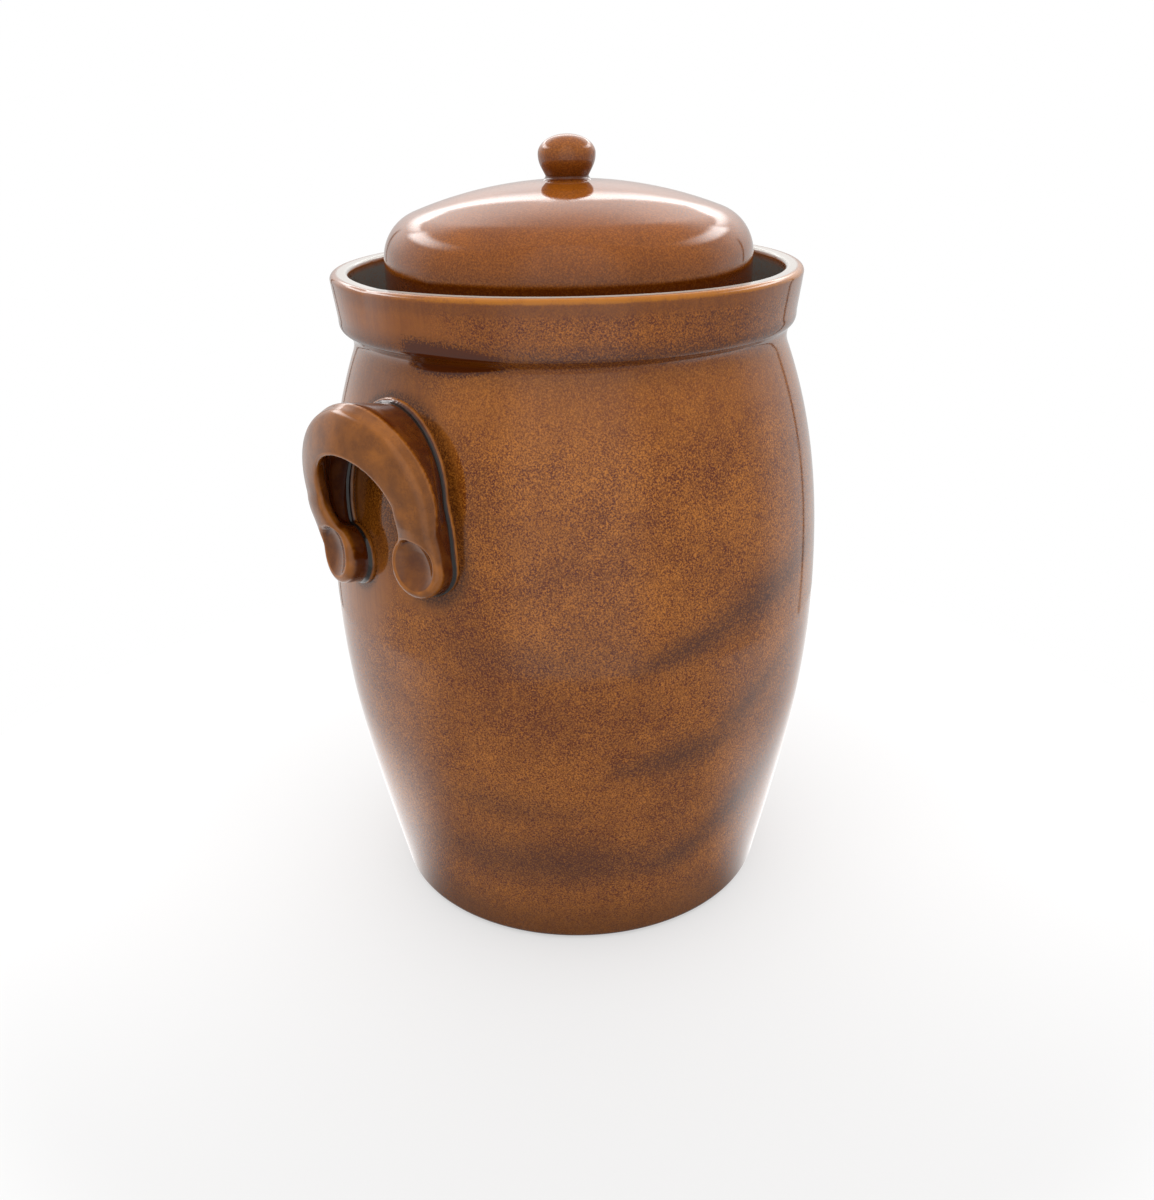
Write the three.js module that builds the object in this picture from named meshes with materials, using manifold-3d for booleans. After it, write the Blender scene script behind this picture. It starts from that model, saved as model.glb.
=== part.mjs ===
// Water-sealed stoneware fermentation crock, about ten litres, with its lid and two weight stones.
// Millimetres, +Z up. The origin is the centre of the flat base, and the two handles lie on the X axis.
import * as THREE from 'three';
import { mergeVertices } from 'three/addons/utils/BufferGeometryUtils.js';
import Module from 'manifold-3d';

const wasm = await Module();
wasm.setup();

// Clearance between pieces that touch
const seamGap = 0.3;

// Barrel
const footRadius = 96;
const footEdge = 6;
const footFlare = THREE.MathUtils.degToRad(12);
const bellyRadius = 126.2;
const bellyHeight = 172;
const bellyEase = 60;
const shoulderEase = 50;
const neckEase = 40;
const neckLean = THREE.MathUtils.degToRad(22);
const neckHeight = 296;
const wallThickness = 9;
const floorThickness = 11;
const floorFillet = 12;

// Mouth, water channel and rim, worked outwards from the mouth
const mouthRadius = 69.5;
const collarThickness = 8.5;
const collarRise = 3;
const lidPlay = 4.1;
const lidThickness = 7;
const channelWidth = 15.4;
const channelFloor = 7.7;
const channelFillet = 4;
const channelDepth = 24;
const rimThickness = 8;
const rimFlare = 0.6;
const rimLip = 3.8;
const rimHeel = 2.2;
const rimSeat = 5.2;
const creaseInset = 0.8;

// Lid and knob
const lidHeight = 62.6;
const lidShoulder = 22;
const domeRadius = 210;
const skirtEdge = 2.8;
const ventRadius = 8;
const knobRadius = 13.7;
const knobHeight = 19.8;
const knobCrown = 8.8;
const knobNeck = 10.3;
const knobFoot = 11.6;
const knobFootHeight = 1.6;

// Handles: a strap bent to a horseshoe, its front edge turned in, its legs ending in thumb-pressed pads
const handleDrop = 55.5;
const archHalfWidth = 33.2;
const archRise = 36;
const legLength = 31;
const padSpread = 25;
const crownThickness = 8;
const waistThickness = 6.6;
const ridgeFlare = 3.2;
const legFlare = 9;
const ridgeRound = 3.5;
const crownRidge = 26;
const crownFace = 31;
const crownInturn = 13.5;
const waistRidge = 16.5;
const waistFace = 21;
const waistInturn = 11;
const lipFall = 1;
const lipThickness = 5;
const legReach = 0.62;
const padRadius = 15;
const padDepth = 13.5;
const padEdge = 3;
const padTaper = 0.2;
const padLean = 2.4;
const padRise = 4;
const thumbWidth = 9.6;
const thumbHeight = 12;
const thumbDepth = 4;
const leftHandleTilt = THREE.MathUtils.degToRad(7.5);
const leftHandleLean = 0.03;
const rightHandleTilt = 0;
const rightHandleLean = 0;

// Weight stones: two half discs that lie side by side on the floor
const stoneThickness = 18;
const stoneEdge = 3;
const stoneMargin = 1.5;
const stoneSplit = 3;
const stoneCorner = 7;
const fingerHole = 12;
const fingerReach = 36;

// Facets
const turnSteps = 48;
const knobSteps = 24;
const wallSteps = 8;
const archSteps = 7;
const legSteps = 4;
const padSteps = 20;
const thumbSteps = 16;

// Heights and radii that follow from the sizes above
const channelBed = neckHeight + seamGap + channelFloor;
const rimTop = channelBed + seamGap + channelDepth;
const collarRadius = mouthRadius + collarThickness;
const collarTop = rimTop + collarRise;
const skirtInner = collarRadius + lidPlay;
const lidRadius = skirtInner + lidThickness;
const lidBottom = channelBed + seamGap;
const lidApex = lidBottom + lidHeight;
const rimInner = lidRadius + channelWidth;
const rimFoot = rimInner + rimThickness - rimFlare;
const neckRadius = rimInner + creaseInset;

function point(radius, height) {
  return new THREE.Vector2(radius, height);
}

// Points on a circular or elliptical arc, from one angle to another
function arc(centre, radius, from, to, steps, heightRadius = radius) {
  const curve = new THREE.EllipseCurve(centre.x, centre.y, radius, heightRadius, from, to, to < from);
  return curve.getPoints(steps);
}

function bezier(start, startPull, endPull, end, steps) {
  return new THREE.CubicBezierCurve(start, startPull, endPull, end).getPoints(steps);
}

// A polyline moved sideways: a positive distance goes to its left
function offset(points, distance) {
  return points.map((p, i) => {
    const before = points[Math.max(i - 1, 0)];
    const after = points[Math.min(i + 1, points.length - 1)];
    const along = after.clone().sub(before).normalize();
    return point(p.x - along.y * distance, p.y + along.x * distance);
  });
}

// Solid of revolution about Z. A profile that stays off the axis is closed on itself.
function revolve(profile, steps = turnSteps) {
  const kept = profile.filter((p, i) => i === 0 || p.distanceTo(profile[i - 1]) > 1e-3);
  const onAxis = kept[0].x < 1e-6;
  if (!onAxis) {
    kept.push(kept[0].clone());
  }
  return new THREE.LatheGeometry(kept, steps).rotateX(Math.PI / 2);
}

function toManifold(geometry) {
  const bare = geometry.clone();
  bare.deleteAttribute('normal');
  bare.deleteAttribute('uv');
  const merged = mergeVertices(bare, 1e-4);
  const index = merged.index.array;
  const triangles = [];
  for (let i = 0; i < index.length; i += 3) {
    const [a, b, c] = [index[i], index[i + 1], index[i + 2]];
    if (a !== b && b !== c && c !== a) {
      triangles.push(a, b, c);
    }
  }
  return new wasm.Manifold(new wasm.Mesh({
    numProp: 3,
    vertProperties: new Float32Array(merged.attributes.position.array),
    triVerts: new Uint32Array(triangles),
  }));
}

function toGeometry(manifold) {
  const mesh = manifold.getMesh();
  const geometry = new THREE.BufferGeometry();
  geometry.setAttribute('position', new THREE.BufferAttribute(mesh.vertProperties, 3));
  geometry.setIndex(new THREE.BufferAttribute(mesh.triVerts, 1));
  geometry.computeVertexNormals();
  return geometry;
}

// Barrel wall: foot edge, lower curve up to the belly and upper curve in to the neck
const foot = point(footRadius, footEdge);
const footArc = arc(foot, footEdge, -Math.PI / 2, -footFlare, 3);
const footTop = footArc[footArc.length - 1];
const belly = point(bellyRadius, bellyHeight);
const neck = point(neckRadius, neckHeight);
const lowerWall = bezier(
  footTop,
  point(footTop.x + bellyEase * Math.sin(footFlare), footTop.y + bellyEase * Math.cos(footFlare)),
  point(bellyRadius, bellyHeight - bellyEase),
  belly,
  wallSteps,
);
const upperWall = bezier(
  belly,
  point(bellyRadius, bellyHeight + shoulderEase),
  point(neckRadius + neckEase * Math.sin(neckLean), neckHeight - neckEase * Math.cos(neckLean)),
  neck,
  wallSteps,
);
const outerWall = [...footArc, ...lowerWall.slice(1), ...upperWall.slice(1)];

// Outside radius of the barrel at a height
function wallRadius(height) {
  const above = outerWall.findIndex((p) => p.y >= height);
  if (above < 1) {
    return above === 0 ? outerWall[0].x : neckRadius;
  }
  const low = outerWall[above - 1];
  const high = outerWall[above];
  return THREE.MathUtils.mapLinear(height, low.y, high.y, low.x, high.x);
}

// Flat part of the inside floor, inside its fillet
const floorFlat = wallRadius(floorThickness + floorFillet) - wallThickness - floorFillet;

function crockBody() {
  const inside = offset(outerWall, wallThickness).filter((p) => p.y > floorThickness + floorFillet);
  const top = inside[inside.length - 1];
  top.set(neckRadius - wallThickness, neckHeight);
  const filletCentre = point(floorFlat, floorThickness + floorFillet);
  return revolve([
    point(0, 0),
    ...outerWall,
    ...inside.reverse(),
    ...arc(filletCentre, floorFillet, 0, -Math.PI / 2, 4),
    point(0, floorThickness),
  ]);
}

// Flange that makes the channel's bed, with the upright collar round the mouth
function mouthCollar() {
  const underside = neckHeight + seamGap;
  const edge = rimInner + rimSeat;
  const crown = collarThickness / 2;
  const neckCurve = new THREE.QuadraticBezierCurve(
    point(neckRadius, underside),
    point(edge - rimHeel, underside + rimHeel),
    point(edge, channelBed),
  );
  const bedFillet = point(collarRadius + channelFillet, channelBed + channelFillet);
  const collarCrown = point(mouthRadius + crown, collarTop - crown);
  return revolve([
    point(mouthRadius, underside),
    ...neckCurve.getPoints(3),
    ...arc(bedFillet, channelFillet, -Math.PI / 2, -Math.PI, 3),
    ...arc(collarCrown, crown, 0, Math.PI, 6),
  ]);
}

// Upright outer wall of the water channel, whose flared face is the crock's rim
function gutterRing() {
  const base = channelBed + seamGap;
  const outer = rimInner + rimThickness + rimLip / 4;
  const heel = point(rimFoot - rimHeel, base + rimHeel);
  const lipOuter = point(outer - rimLip, rimTop - rimLip);
  const lipInner = point(rimInner + rimLip, rimTop - rimLip);
  return revolve([
    point(rimInner, base),
    ...arc(heel, rimHeel, -Math.PI / 2, 0, 3),
    ...arc(lipOuter, rimLip, 0, Math.PI / 2, 4),
    ...arc(lipInner, rimLip, Math.PI / 2, Math.PI, 4),
  ]);
}

// Dome and shoulder arcs of the lid's outside, or of its inside when inset by the wall
function lidArcs(inset) {
  const shoulderX = lidRadius - lidShoulder;
  const reach = domeRadius - lidShoulder;
  const domeZ = lidApex - domeRadius;
  const shoulderZ = domeZ + Math.sqrt(reach * reach - shoulderX * shoulderX);
  const joint = Math.atan2(shoulderZ - domeZ, shoulderX);
  return [
    ...arc(point(shoulderX, shoulderZ), lidShoulder - inset, 0, joint, 6),
    ...arc(point(0, domeZ), domeRadius - inset, joint, Math.PI / 2, 5).slice(1),
  ];
}

function lid() {
  const outside = lidArcs(0);
  const inside = lidArcs(lidThickness).reverse();
  const edgeZ = lidBottom + skirtEdge;
  const shell = revolve([
    ...inside,
    ...arc(point(skirtInner + skirtEdge, edgeZ), skirtEdge, Math.PI, Math.PI * 1.5, 3),
    ...arc(point(lidRadius - skirtEdge, edgeZ), skirtEdge, -Math.PI / 2, 0, 3),
    ...outside,
  ]);
  // Two half-round gas vents, opposite each other in the skirt's lower edge
  const vents = new THREE.CylinderGeometry(ventRadius, ventRadius, 2 * lidRadius + 2 * lidThickness, 16);
  vents.translate(0, 0, lidBottom);
  return toGeometry(toManifold(shell).subtract(toManifold(vents)));
}

function lidKnob() {
  const base = lidApex + seamGap;
  const top = base + knobHeight;
  const widest = point(0, top - knobCrown);
  const waist = point(knobNeck, base + knobFootHeight);
  const taper = bezier(
    waist,
    point(knobNeck + knobFootHeight, waist.y + knobFootHeight * 2),
    point(knobRadius, widest.y - knobCrown / 2),
    point(knobRadius, widest.y),
    5,
  );
  const sag = domeRadius - Math.sqrt(domeRadius * domeRadius - knobFoot * knobFoot);
  return revolve([
    point(0, base),
    point(knobFoot, base - sag),
    ...taper,
    ...arc(widest, knobRadius, 0, Math.PI / 2, 6, knobCrown).slice(1),
  ], knobSteps);
}

// Closed solid through a row of rings with equal numbers of points
function loft(rings) {
  const count = rings[0].length;
  const positions = rings.flat().flatMap((p) => [p.x, p.y, p.z]);
  const index = [];
  for (let ring = 0; ring + 1 < rings.length; ring += 1) {
    for (let i = 0; i < count; i += 1) {
      const next = (i + 1) % count;
      const [a, b] = [ring * count + i, ring * count + next];
      index.push(a, a + count, b, b, a + count, b + count);
    }
  }
  const last = (rings.length - 1) * count;
  for (let i = 1; i + 1 < count; i += 1) {
    index.push(0, i, i + 1);
    index.push(last, last + i + 1, last + i);
  }
  const geometry = new THREE.BufferGeometry();
  geometry.setAttribute('position', new THREE.Float32BufferAttribute(positions, 3));
  geometry.setIndex(index);
  return geometry;
}

// Handle space: x along the wall, y up from the line of the pads, z straight out from the wall.
// The strap's root follows an arch and two legs that draw in to the pads.
function strapPath() {
  const leg = new THREE.CubicBezierCurve(
    point(padSpread, 0),
    point(padSpread + padLean, legLength / 3),
    point(archHalfWidth, legLength / 2),
    point(archHalfWidth, legLength),
  );
  const right = leg.getPoints(legSteps);
  const arch = arc(point(0, legLength), archHalfWidth, 0, Math.PI, archSteps * 2, archRise);
  const left = right.map((p) => point(-p.x, p.y)).reverse();
  return [...right, ...arch.slice(1, -1), ...left];
}

// Section of the strap: root on the wall, flank, ridge, front face, turned-in lip and inner face.
// The crown value is 1 at the top of the arch and falls to 0 at its springing.
// The ending is 0 on the arch and grows to 1 at the end of a leg, which is lower and wider there.
function strapSection(crown, ending, sink) {
  const mix = THREE.MathUtils.lerp;
  const half = mix(waistThickness, crownThickness, crown) / 2;
  const reach = mix(1, legReach, ending);
  const splay = legFlare * ending;
  const ridge = mix(waistRidge, crownRidge, crown) * reach;
  const face = mix(waistFace, crownFace, crown) * reach;
  const lipX = -mix(waistInturn, crownInturn, crown);
  const ridgeX = half + Math.max(ridgeFlare, splay);
  const lip = face - lipFall;
  return [
    point(half + splay, -sink),
    point(ridgeX, ridge - ridgeRound),
    point(ridgeX - ridgeRound / 4, ridge),
    point(ridgeX - ridgeRound, mix(ridge, face, 0.75)),
    point(mix(ridgeX, lipX, 0.6), face),
    point(lipX + lipFall, lip + lipFall / 3),
    point(lipX, lip - lipFall),
    point(lipX + lipFall, lip - lipThickness),
    point(-half - lipFall, mix(0, lip, 0.55)),
    point(-half, -sink),
  ];
}

function handleStrap(sink) {
  const path = strapPath();
  return loft(path.map((p, i) => {
    const before = path[Math.max(i - 1, 0)];
    const after = path[Math.min(i + 1, path.length - 1)];
    const along = after.clone().sub(before).normalize();
    const outward = point(along.y, -along.x);
    const crown = Math.max(0, (p.y - legLength) / archRise);
    const ending = 1 - THREE.MathUtils.smoothstep(p.y, 0, legLength);
    return strapSection(crown, ending, sink).map((s) => new THREE.Vector3(
      p.x + outward.x * s.x,
      p.y + outward.y * s.x,
      s.y,
    ));
  }));
}

// Pad at the end of a leg, narrower and higher at its face than at the wall
function handlePad(side, sink) {
  const rim = point(padRadius - padEdge, padDepth - padEdge);
  const pad = new THREE.LatheGeometry([
    point(0, -sink),
    point(padRadius - padEdge / 2, -sink),
    ...arc(rim, padEdge, 0, Math.PI / 2, 3),
    point(0, padDepth),
  ], padSteps);
  const place = pad.attributes.position;
  for (let i = 0; i < place.count; i += 1) {
    const [across, out, down] = [place.getX(i), place.getY(i), place.getZ(i)];
    const share = Math.max(0, out / padDepth);
    place.setXYZ(i, side * padSpread + across * (1 - padTaper * share), padRise * share - down, out);
  }
  return pad;
}

// Hollow that a thumb presses into a pad
function thumbHollow(side) {
  const thumb = new THREE.SphereGeometry(1, thumbSteps, thumbSteps / 2);
  return thumb.scale(thumbWidth, thumbHeight, thumbDepth).translate(side * padSpread, padRise, padDepth);
}

// Lays handle space on the barrel: x round the wall, y up it and z away from it.
// The tilt turns the handle on the wall, and the lean slants it sideways as it leaves the wall.
function wrapOnWall(geometry, tilt, lean) {
  const centreHeight = neckHeight - handleDrop;
  const middle = wallRadius(centreHeight);
  const place = geometry.attributes.position;
  for (let i = 0; i < place.count; i += 1) {
    const out = place.getZ(i);
    const x = place.getX(i) + lean * out;
    const y = place.getY(i) - legLength;
    const around = x * Math.cos(tilt) - y * Math.sin(tilt);
    const height = centreHeight + x * Math.sin(tilt) + y * Math.cos(tilt);
    const turn = around / middle;
    const radius = wallRadius(height) + out;
    place.setXYZ(i, radius * Math.cos(turn), radius * Math.sin(turn), height);
  }
  return geometry;
}

// Handle on the +X side, cut back to stand just off the barrel
function handle(tilt, lean) {
  const sink = wallThickness / 2;
  const wrapped = (piece) => toManifold(wrapOnWall(piece, tilt, lean));
  const clay = [handleStrap(sink), handlePad(1, sink), handlePad(-1, sink)].map(wrapped);
  const thumbs = [thumbHollow(1), thumbHollow(-1)].map(wrapped);
  const barrel = toManifold(revolve([
    point(0, 0),
    ...offset(outerWall, -seamGap),
    point(0, neckHeight),
  ]));
  return toGeometry(wasm.Manifold.difference([wasm.Manifold.union(clay), ...thumbs, barrel]));
}

// Half disc with rounded corners and a finger hole, its straight edge facing the other half
function weightStone() {
  const radius = floorFlat + stoneEdge - stoneMargin;
  const flat = radius - stoneEdge;
  const inner = stoneSplit / 2 + stoneEdge;
  const cornerX = inner + stoneCorner;
  const cornerReach = flat - stoneCorner;
  const cornerY = Math.sqrt(cornerReach * cornerReach - cornerX * cornerX);
  const swing = Math.atan2(cornerY, cornerX);
  const outline = new THREE.Shape([
    ...arc(point(cornerX, -cornerY), stoneCorner, -Math.PI, -swing, 4),
    ...arc(point(0, 0), flat, -swing, swing, 16).slice(1, -1),
    ...arc(point(cornerX, cornerY), stoneCorner, swing, Math.PI, 4),
  ]);
  const hole = new THREE.Path();
  hole.absarc(fingerReach, 0, fingerHole + stoneEdge, 0, Math.PI * 2, true);
  outline.holes.push(hole);
  const stone = new THREE.ExtrudeGeometry(outline, {
    depth: stoneThickness - 2 * stoneEdge,
    bevelThickness: stoneEdge,
    bevelSize: stoneEdge,
    bevelSegments: 2,
    curveSegments: 12,
  });
  return stone.translate(0, 0, floorThickness + seamGap + stoneEdge);
}

function glaze(colour, roughness) {
  return new THREE.MeshStandardMaterial({ color: colour, roughness, metalness: 0 });
}

const crock = new THREE.Group();

function addPiece(name, geometry, material, turn = 0) {
  const mesh = new THREE.Mesh(geometry, material);
  mesh.name = name;
  mesh.rotation.z = turn;
  crock.add(mesh);
}

addPiece('crock_body', crockBody(), glaze(0x8a4b22, 0.22));
addPiece('mouth_collar', mouthCollar(), glaze(0x4a3a30, 0.25));
addPiece('gutter_ring', gutterRing(), glaze(0x87481f, 0.2));
addPiece('handle_left', handle(leftHandleTilt, leftHandleLean), glaze(0x7a4a2a, 0.18), Math.PI);
addPiece('handle_right', handle(rightHandleTilt, rightHandleLean), glaze(0x7a4a2a, 0.18));
addPiece('lid', lid(), glaze(0x8c4f2c, 0.18));
addPiece('lid_knob', lidKnob(), glaze(0x8c4a20, 0.18));
addPiece('weight_stone_left', weightStone(), glaze(0xb9a68c, 0.6), Math.PI);
addPiece('weight_stone_right', weightStone(), glaze(0xb9a68c, 0.6));

export default crock;
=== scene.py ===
import math

import bpy
import numpy as np
from bpy.props import FloatProperty, FloatVectorProperty, IntProperty, PointerProperty
from bpy.types import Operator, Panel, PropertyGroup
from mathutils import Color, Matrix, Vector
from mathutils.kdtree import KDTree


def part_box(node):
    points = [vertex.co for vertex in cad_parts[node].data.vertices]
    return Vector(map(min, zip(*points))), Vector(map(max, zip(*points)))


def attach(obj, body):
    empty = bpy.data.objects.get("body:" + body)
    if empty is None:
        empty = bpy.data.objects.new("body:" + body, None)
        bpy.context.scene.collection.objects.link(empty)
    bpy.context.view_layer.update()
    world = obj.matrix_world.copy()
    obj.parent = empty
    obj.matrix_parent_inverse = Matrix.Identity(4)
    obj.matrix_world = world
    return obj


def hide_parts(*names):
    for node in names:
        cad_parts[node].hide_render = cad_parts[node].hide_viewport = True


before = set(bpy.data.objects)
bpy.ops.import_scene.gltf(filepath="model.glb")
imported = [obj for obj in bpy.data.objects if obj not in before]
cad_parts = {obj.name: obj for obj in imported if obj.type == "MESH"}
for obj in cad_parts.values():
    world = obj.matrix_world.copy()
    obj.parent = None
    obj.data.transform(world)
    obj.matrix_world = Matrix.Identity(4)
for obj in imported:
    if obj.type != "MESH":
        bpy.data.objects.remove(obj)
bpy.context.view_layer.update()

bl_info = {
    "name": "Stoneware Fermentation Crock",
    "version": (1, 0, 0),
    "blender": (4, 5, 0),
    "location": "3D View > Sidebar > Crock",
    "description": "Builds a brown glazed, water-sealed crock with its lid, handles and weight stones",
    "category": "Add Mesh",
}

MM = 0.001
BARREL_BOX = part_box("crock_body")
COLLAR_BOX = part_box("mouth_collar")
RING_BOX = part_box("gutter_ring")
LID_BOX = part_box("lid")
KNOB_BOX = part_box("lid_knob")
STONE_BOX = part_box("weight_stone_right")
SEGMENTS = 384  # steps round the barrel, the rim and the lid


# Properties

def length(label, about, default):
    return FloatProperty(
        name=label, description=about, default=default, min=0.0, unit="LENGTH", precision=4
    )


def angle(label, about, degrees):
    return FloatProperty(name=label, description=about, default=math.radians(degrees), subtype="ANGLE")


def share(label, about, default):
    return FloatProperty(name=label, description=about, default=default, min=0.0, max=1.0, subtype="FACTOR")


def amount(label, about, default):
    return FloatProperty(name=label, description=about, default=default, min=0.0)


def passes(label, about, default):
    return IntProperty(name=label, description=about, default=default, min=0)


def colour(label, about, default):
    return FloatVectorProperty(
        name=label, description=about, default=default, size=3, min=0.0, max=1.0, subtype="COLOR"
    )


class BarrelSizes(PropertyGroup):
    """Sizes of the thrown barrel"""

    belly_radius: length("Belly radius", "Widest outside radius", BARREL_BOX[1].y)
    belly_height: length("Belly height", "Height of the widest point", 172 * MM)
    belly_ease: length("Belly ease", "Pull of the lower wall's curve", 60 * MM)
    shoulder_ease: length("Shoulder ease", "Pull of the upper wall's curve at the belly", 50 * MM)
    neck_height: length("Neck height", "Top of the barrel", BARREL_BOX[1].z)
    neck_radius: length("Neck radius", "Outside radius at the neck", 105.3 * MM)
    neck_ease: length("Neck ease", "Pull of the upper wall's curve at the neck", 40 * MM)
    neck_lean: angle("Neck lean", "Inward lean of the wall at the neck", 22)
    foot_radius: length("Foot radius", "Flat part of the base", 96 * MM)
    foot_edge: length("Foot edge", "Rounding of the foot", 6 * MM)
    foot_flare: angle("Foot flare", "Outward lean of the wall above the foot", 12)
    wall: length("Wall", "Wall thickness", 9 * MM)
    floor: length("Floor", "Floor thickness", 11 * MM)
    floor_fillet: length("Floor fillet", "Inside rounding between floor and wall", 12 * MM)
    throwing_pitch: length("Throwing pitch", "Height of one throwing ring inside", 9 * MM)
    throwing_depth: length("Throwing depth", "Depth of the throwing rings inside", 0.35 * MM)


class RimSizes(PropertyGroup):
    """Sizes of the mouth collar, the water channel and the rim"""

    mouth_radius: length("Mouth radius", "Inside radius of the mouth", 69.5 * MM)
    collar_wall: length("Collar wall", "Thickness of the upright collar", 8.5 * MM)
    channel_fillet: length("Channel fillet", "Rounding at the collar's foot", 4 * MM)
    inner_radius: length("Rim inner radius", "Inside radius of the channel's outer wall", 104.5 * MM)
    lip: length("Lip", "Rounding of the lip's outer corner", 2.6 * MM)
    lip_inner: length("Inner lip", "Rounding of the lip's inner corner", 1.7 * MM)
    foot_radius: length("Rim foot radius", "Outside radius above the heel", 111.9 * MM)
    face_low: length("Face low", "Height at which the rim's face starts to turn under", 3.2 * MM)
    heel: length("Heel", "Height of the rim's soft lower edge", 5.5 * MM)
    heel_in: length("Heel in", "How far the lower edge turns in", 1.7 * MM)
    fillet: length("Fillet", "How far down the neck the soft fillet under the rim reaches", 6 * MM)
    set_aside: length("Set aside", "How far the rim sits off the barrel's axis", 1.1 * MM)
    set_angle: angle("Set angle", "Towards which side the rim is set and widest", 134.5)
    oval: length("Oval", "How far the rim is out of round", 0.9 * MM)
    wave: length("Wave", "Rise and fall of the hand-finished lip", 0.5 * MM)
    kink_depth: length("Kink depth", "Depth of the dent in the lip beside the left handle", 1.6 * MM)
    kink_width: angle("Kink width", "Half width of the dent round the rim", 9)
    kink_angle: angle("Kink angle", "Where the dent lies round the rim", 172)


class LidSizes(PropertyGroup):
    """Sizes of the lid and its knob"""

    radius: length("Lid radius", "Outside radius of the lid", LID_BOX[1].y)
    shoulder: length("Shoulder", "Rounding between skirt and dome", 22 * MM)
    dome_radius: length("Dome radius", "Radius of the dome", 210 * MM)
    wall: length("Lid wall", "Thickness of the lid", 7 * MM)
    edge: length("Skirt edge", "Rounding of the skirt's lower edge", 2.8 * MM)
    # The skirt is painted dark up to this height as painted shade and a painted reflection of the rim round
    # it.
    vent: length("Vent", "Radius of the gas vents in the skirt", 8 * MM)
    dip: length("Dip", "How far up the skirt was dipped in dark glaze", 25.6 * MM)
    knob_radius: length("Knob radius", "Widest radius of the knob", KNOB_BOX[1].x)
    knob_crown: length("Knob crown", "Height of the knob's round top", 8.8 * MM)
    knob_neck: length("Knob neck", "Radius of the knob's neck", 10.3 * MM)
    knob_foot: length("Knob foot", "Radius where the knob meets the lid", 11.6 * MM)
    knob_foot_height: length("Knob foot height", "Height of the neck above the lid", 1.6 * MM)


class HandleSizes(PropertyGroup):
    """Sizes of the horseshoe handles"""

    drop: length("Drop", "Springing of the arch below the neck", 55.5 * MM)
    arch_half_width: length("Arch half width", "Half the width of the arch", 33.2 * MM)
    arch_rise: length("Arch rise", "Height of the arch above its springing", 36 * MM)
    leg: length("Leg", "Length of the legs", 31 * MM)
    pad_spread: length("Pad spread", "Half the distance between the pads", 25 * MM)
    crown_wall: length("Crown wall", "Strap thickness at the top of the arch", 8 * MM)
    waist_wall: length("Waist wall", "Strap thickness on the legs", 6.6 * MM)
    ridge_flare: length("Ridge flare", "How far the ridge stands out past the root", 3.2 * MM)
    leg_flare: length("Leg flare", "How far a leg widens towards its pad", 9 * MM)
    ridge_round: length("Ridge round", "Rounding of the ridge", 3.5 * MM)
    crown_ridge: length("Crown ridge", "Height of the ridge off the wall at the crown", 26 * MM)
    crown_face: length("Crown face", "Height of the front face off the wall at the crown", 30.8 * MM)
    crown_inturn: length("Crown inturn", "How far the lip turns in at the crown", 13.5 * MM)
    waist_ridge: length("Waist ridge", "Height of the ridge off the wall at the legs", 16.5 * MM)
    waist_face: length("Waist face", "Height of the front face off the wall at the legs", 21 * MM)
    waist_inturn: length("Waist inturn", "How far the lip turns in at the legs", 11 * MM)
    lip_fall: length("Lip fall", "Fall of the lip below the front face", 1 * MM)
    lip_wall: length("Lip wall", "Thickness of the turned-in lip", 5 * MM)
    leg_reach: share("Leg reach", "Share of the strap's height left at the end of a leg", 0.62)
    root_bead: length("Root bead", "Bead of slip along the seam", 1.4 * MM)
    pad_radius: length("Pad radius", "Radius of the thumb pads", 15 * MM)
    pad_depth: length("Pad depth", "Height of the pads off the wall", 13.5 * MM)
    pad_edge: length("Pad edge", "Rounding of the pads' rim", 3 * MM)
    thumb_depth: length("Thumb depth", "Depth of the thumb hollow", 4 * MM)
    pad_lean: length("Pad lean", "Inward start of the legs beside the pads", 2.4 * MM)
    pad_rise: length("Pad rise", "Upward lean of the pads", 4 * MM)
    pad_taper: share("Pad taper", "How much narrower a pad is at its face than at the wall", 0.2)
    thumb_width: length("Thumb width", "Half width of the thumb hollow", 9.6 * MM)
    thumb_height: length("Thumb height", "Half height of the thumb hollow", 12 * MM)
    left_tilt: angle("Left tilt", "Turn of the left handle on the wall", 7.5)
    left_lean: amount("Left lean", "Sideways slant of the left handle as it leaves the wall", 0.03)
    voxel: length("Voxel", "Grain at which strap and pads are blended", 0.6 * MM)
    smooth_passes: passes("Smoothing", "Passes that soften the clay", 4)
    blend_passes: passes("Blending", "Passes that blend the legs into the pads", 30)


class StoneSizes(PropertyGroup):
    """Sizes of the weight stones"""

    radius: length("Stone radius", "Outside radius of the pair", STONE_BOX[1].x)
    split: length("Split", "Gap between the two stones", 3 * MM)
    edge: length("Stone edge", "Rounding of the stones' edges", 3 * MM)
    corner: length("Corner", "Rounding of the half disc's corners", 7 * MM)
    hole: length("Finger hole", "Radius of the finger hole", 12 * MM)
    hole_reach: length("Hole reach", "Distance of the finger hole from the axis", 36 * MM)


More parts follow.
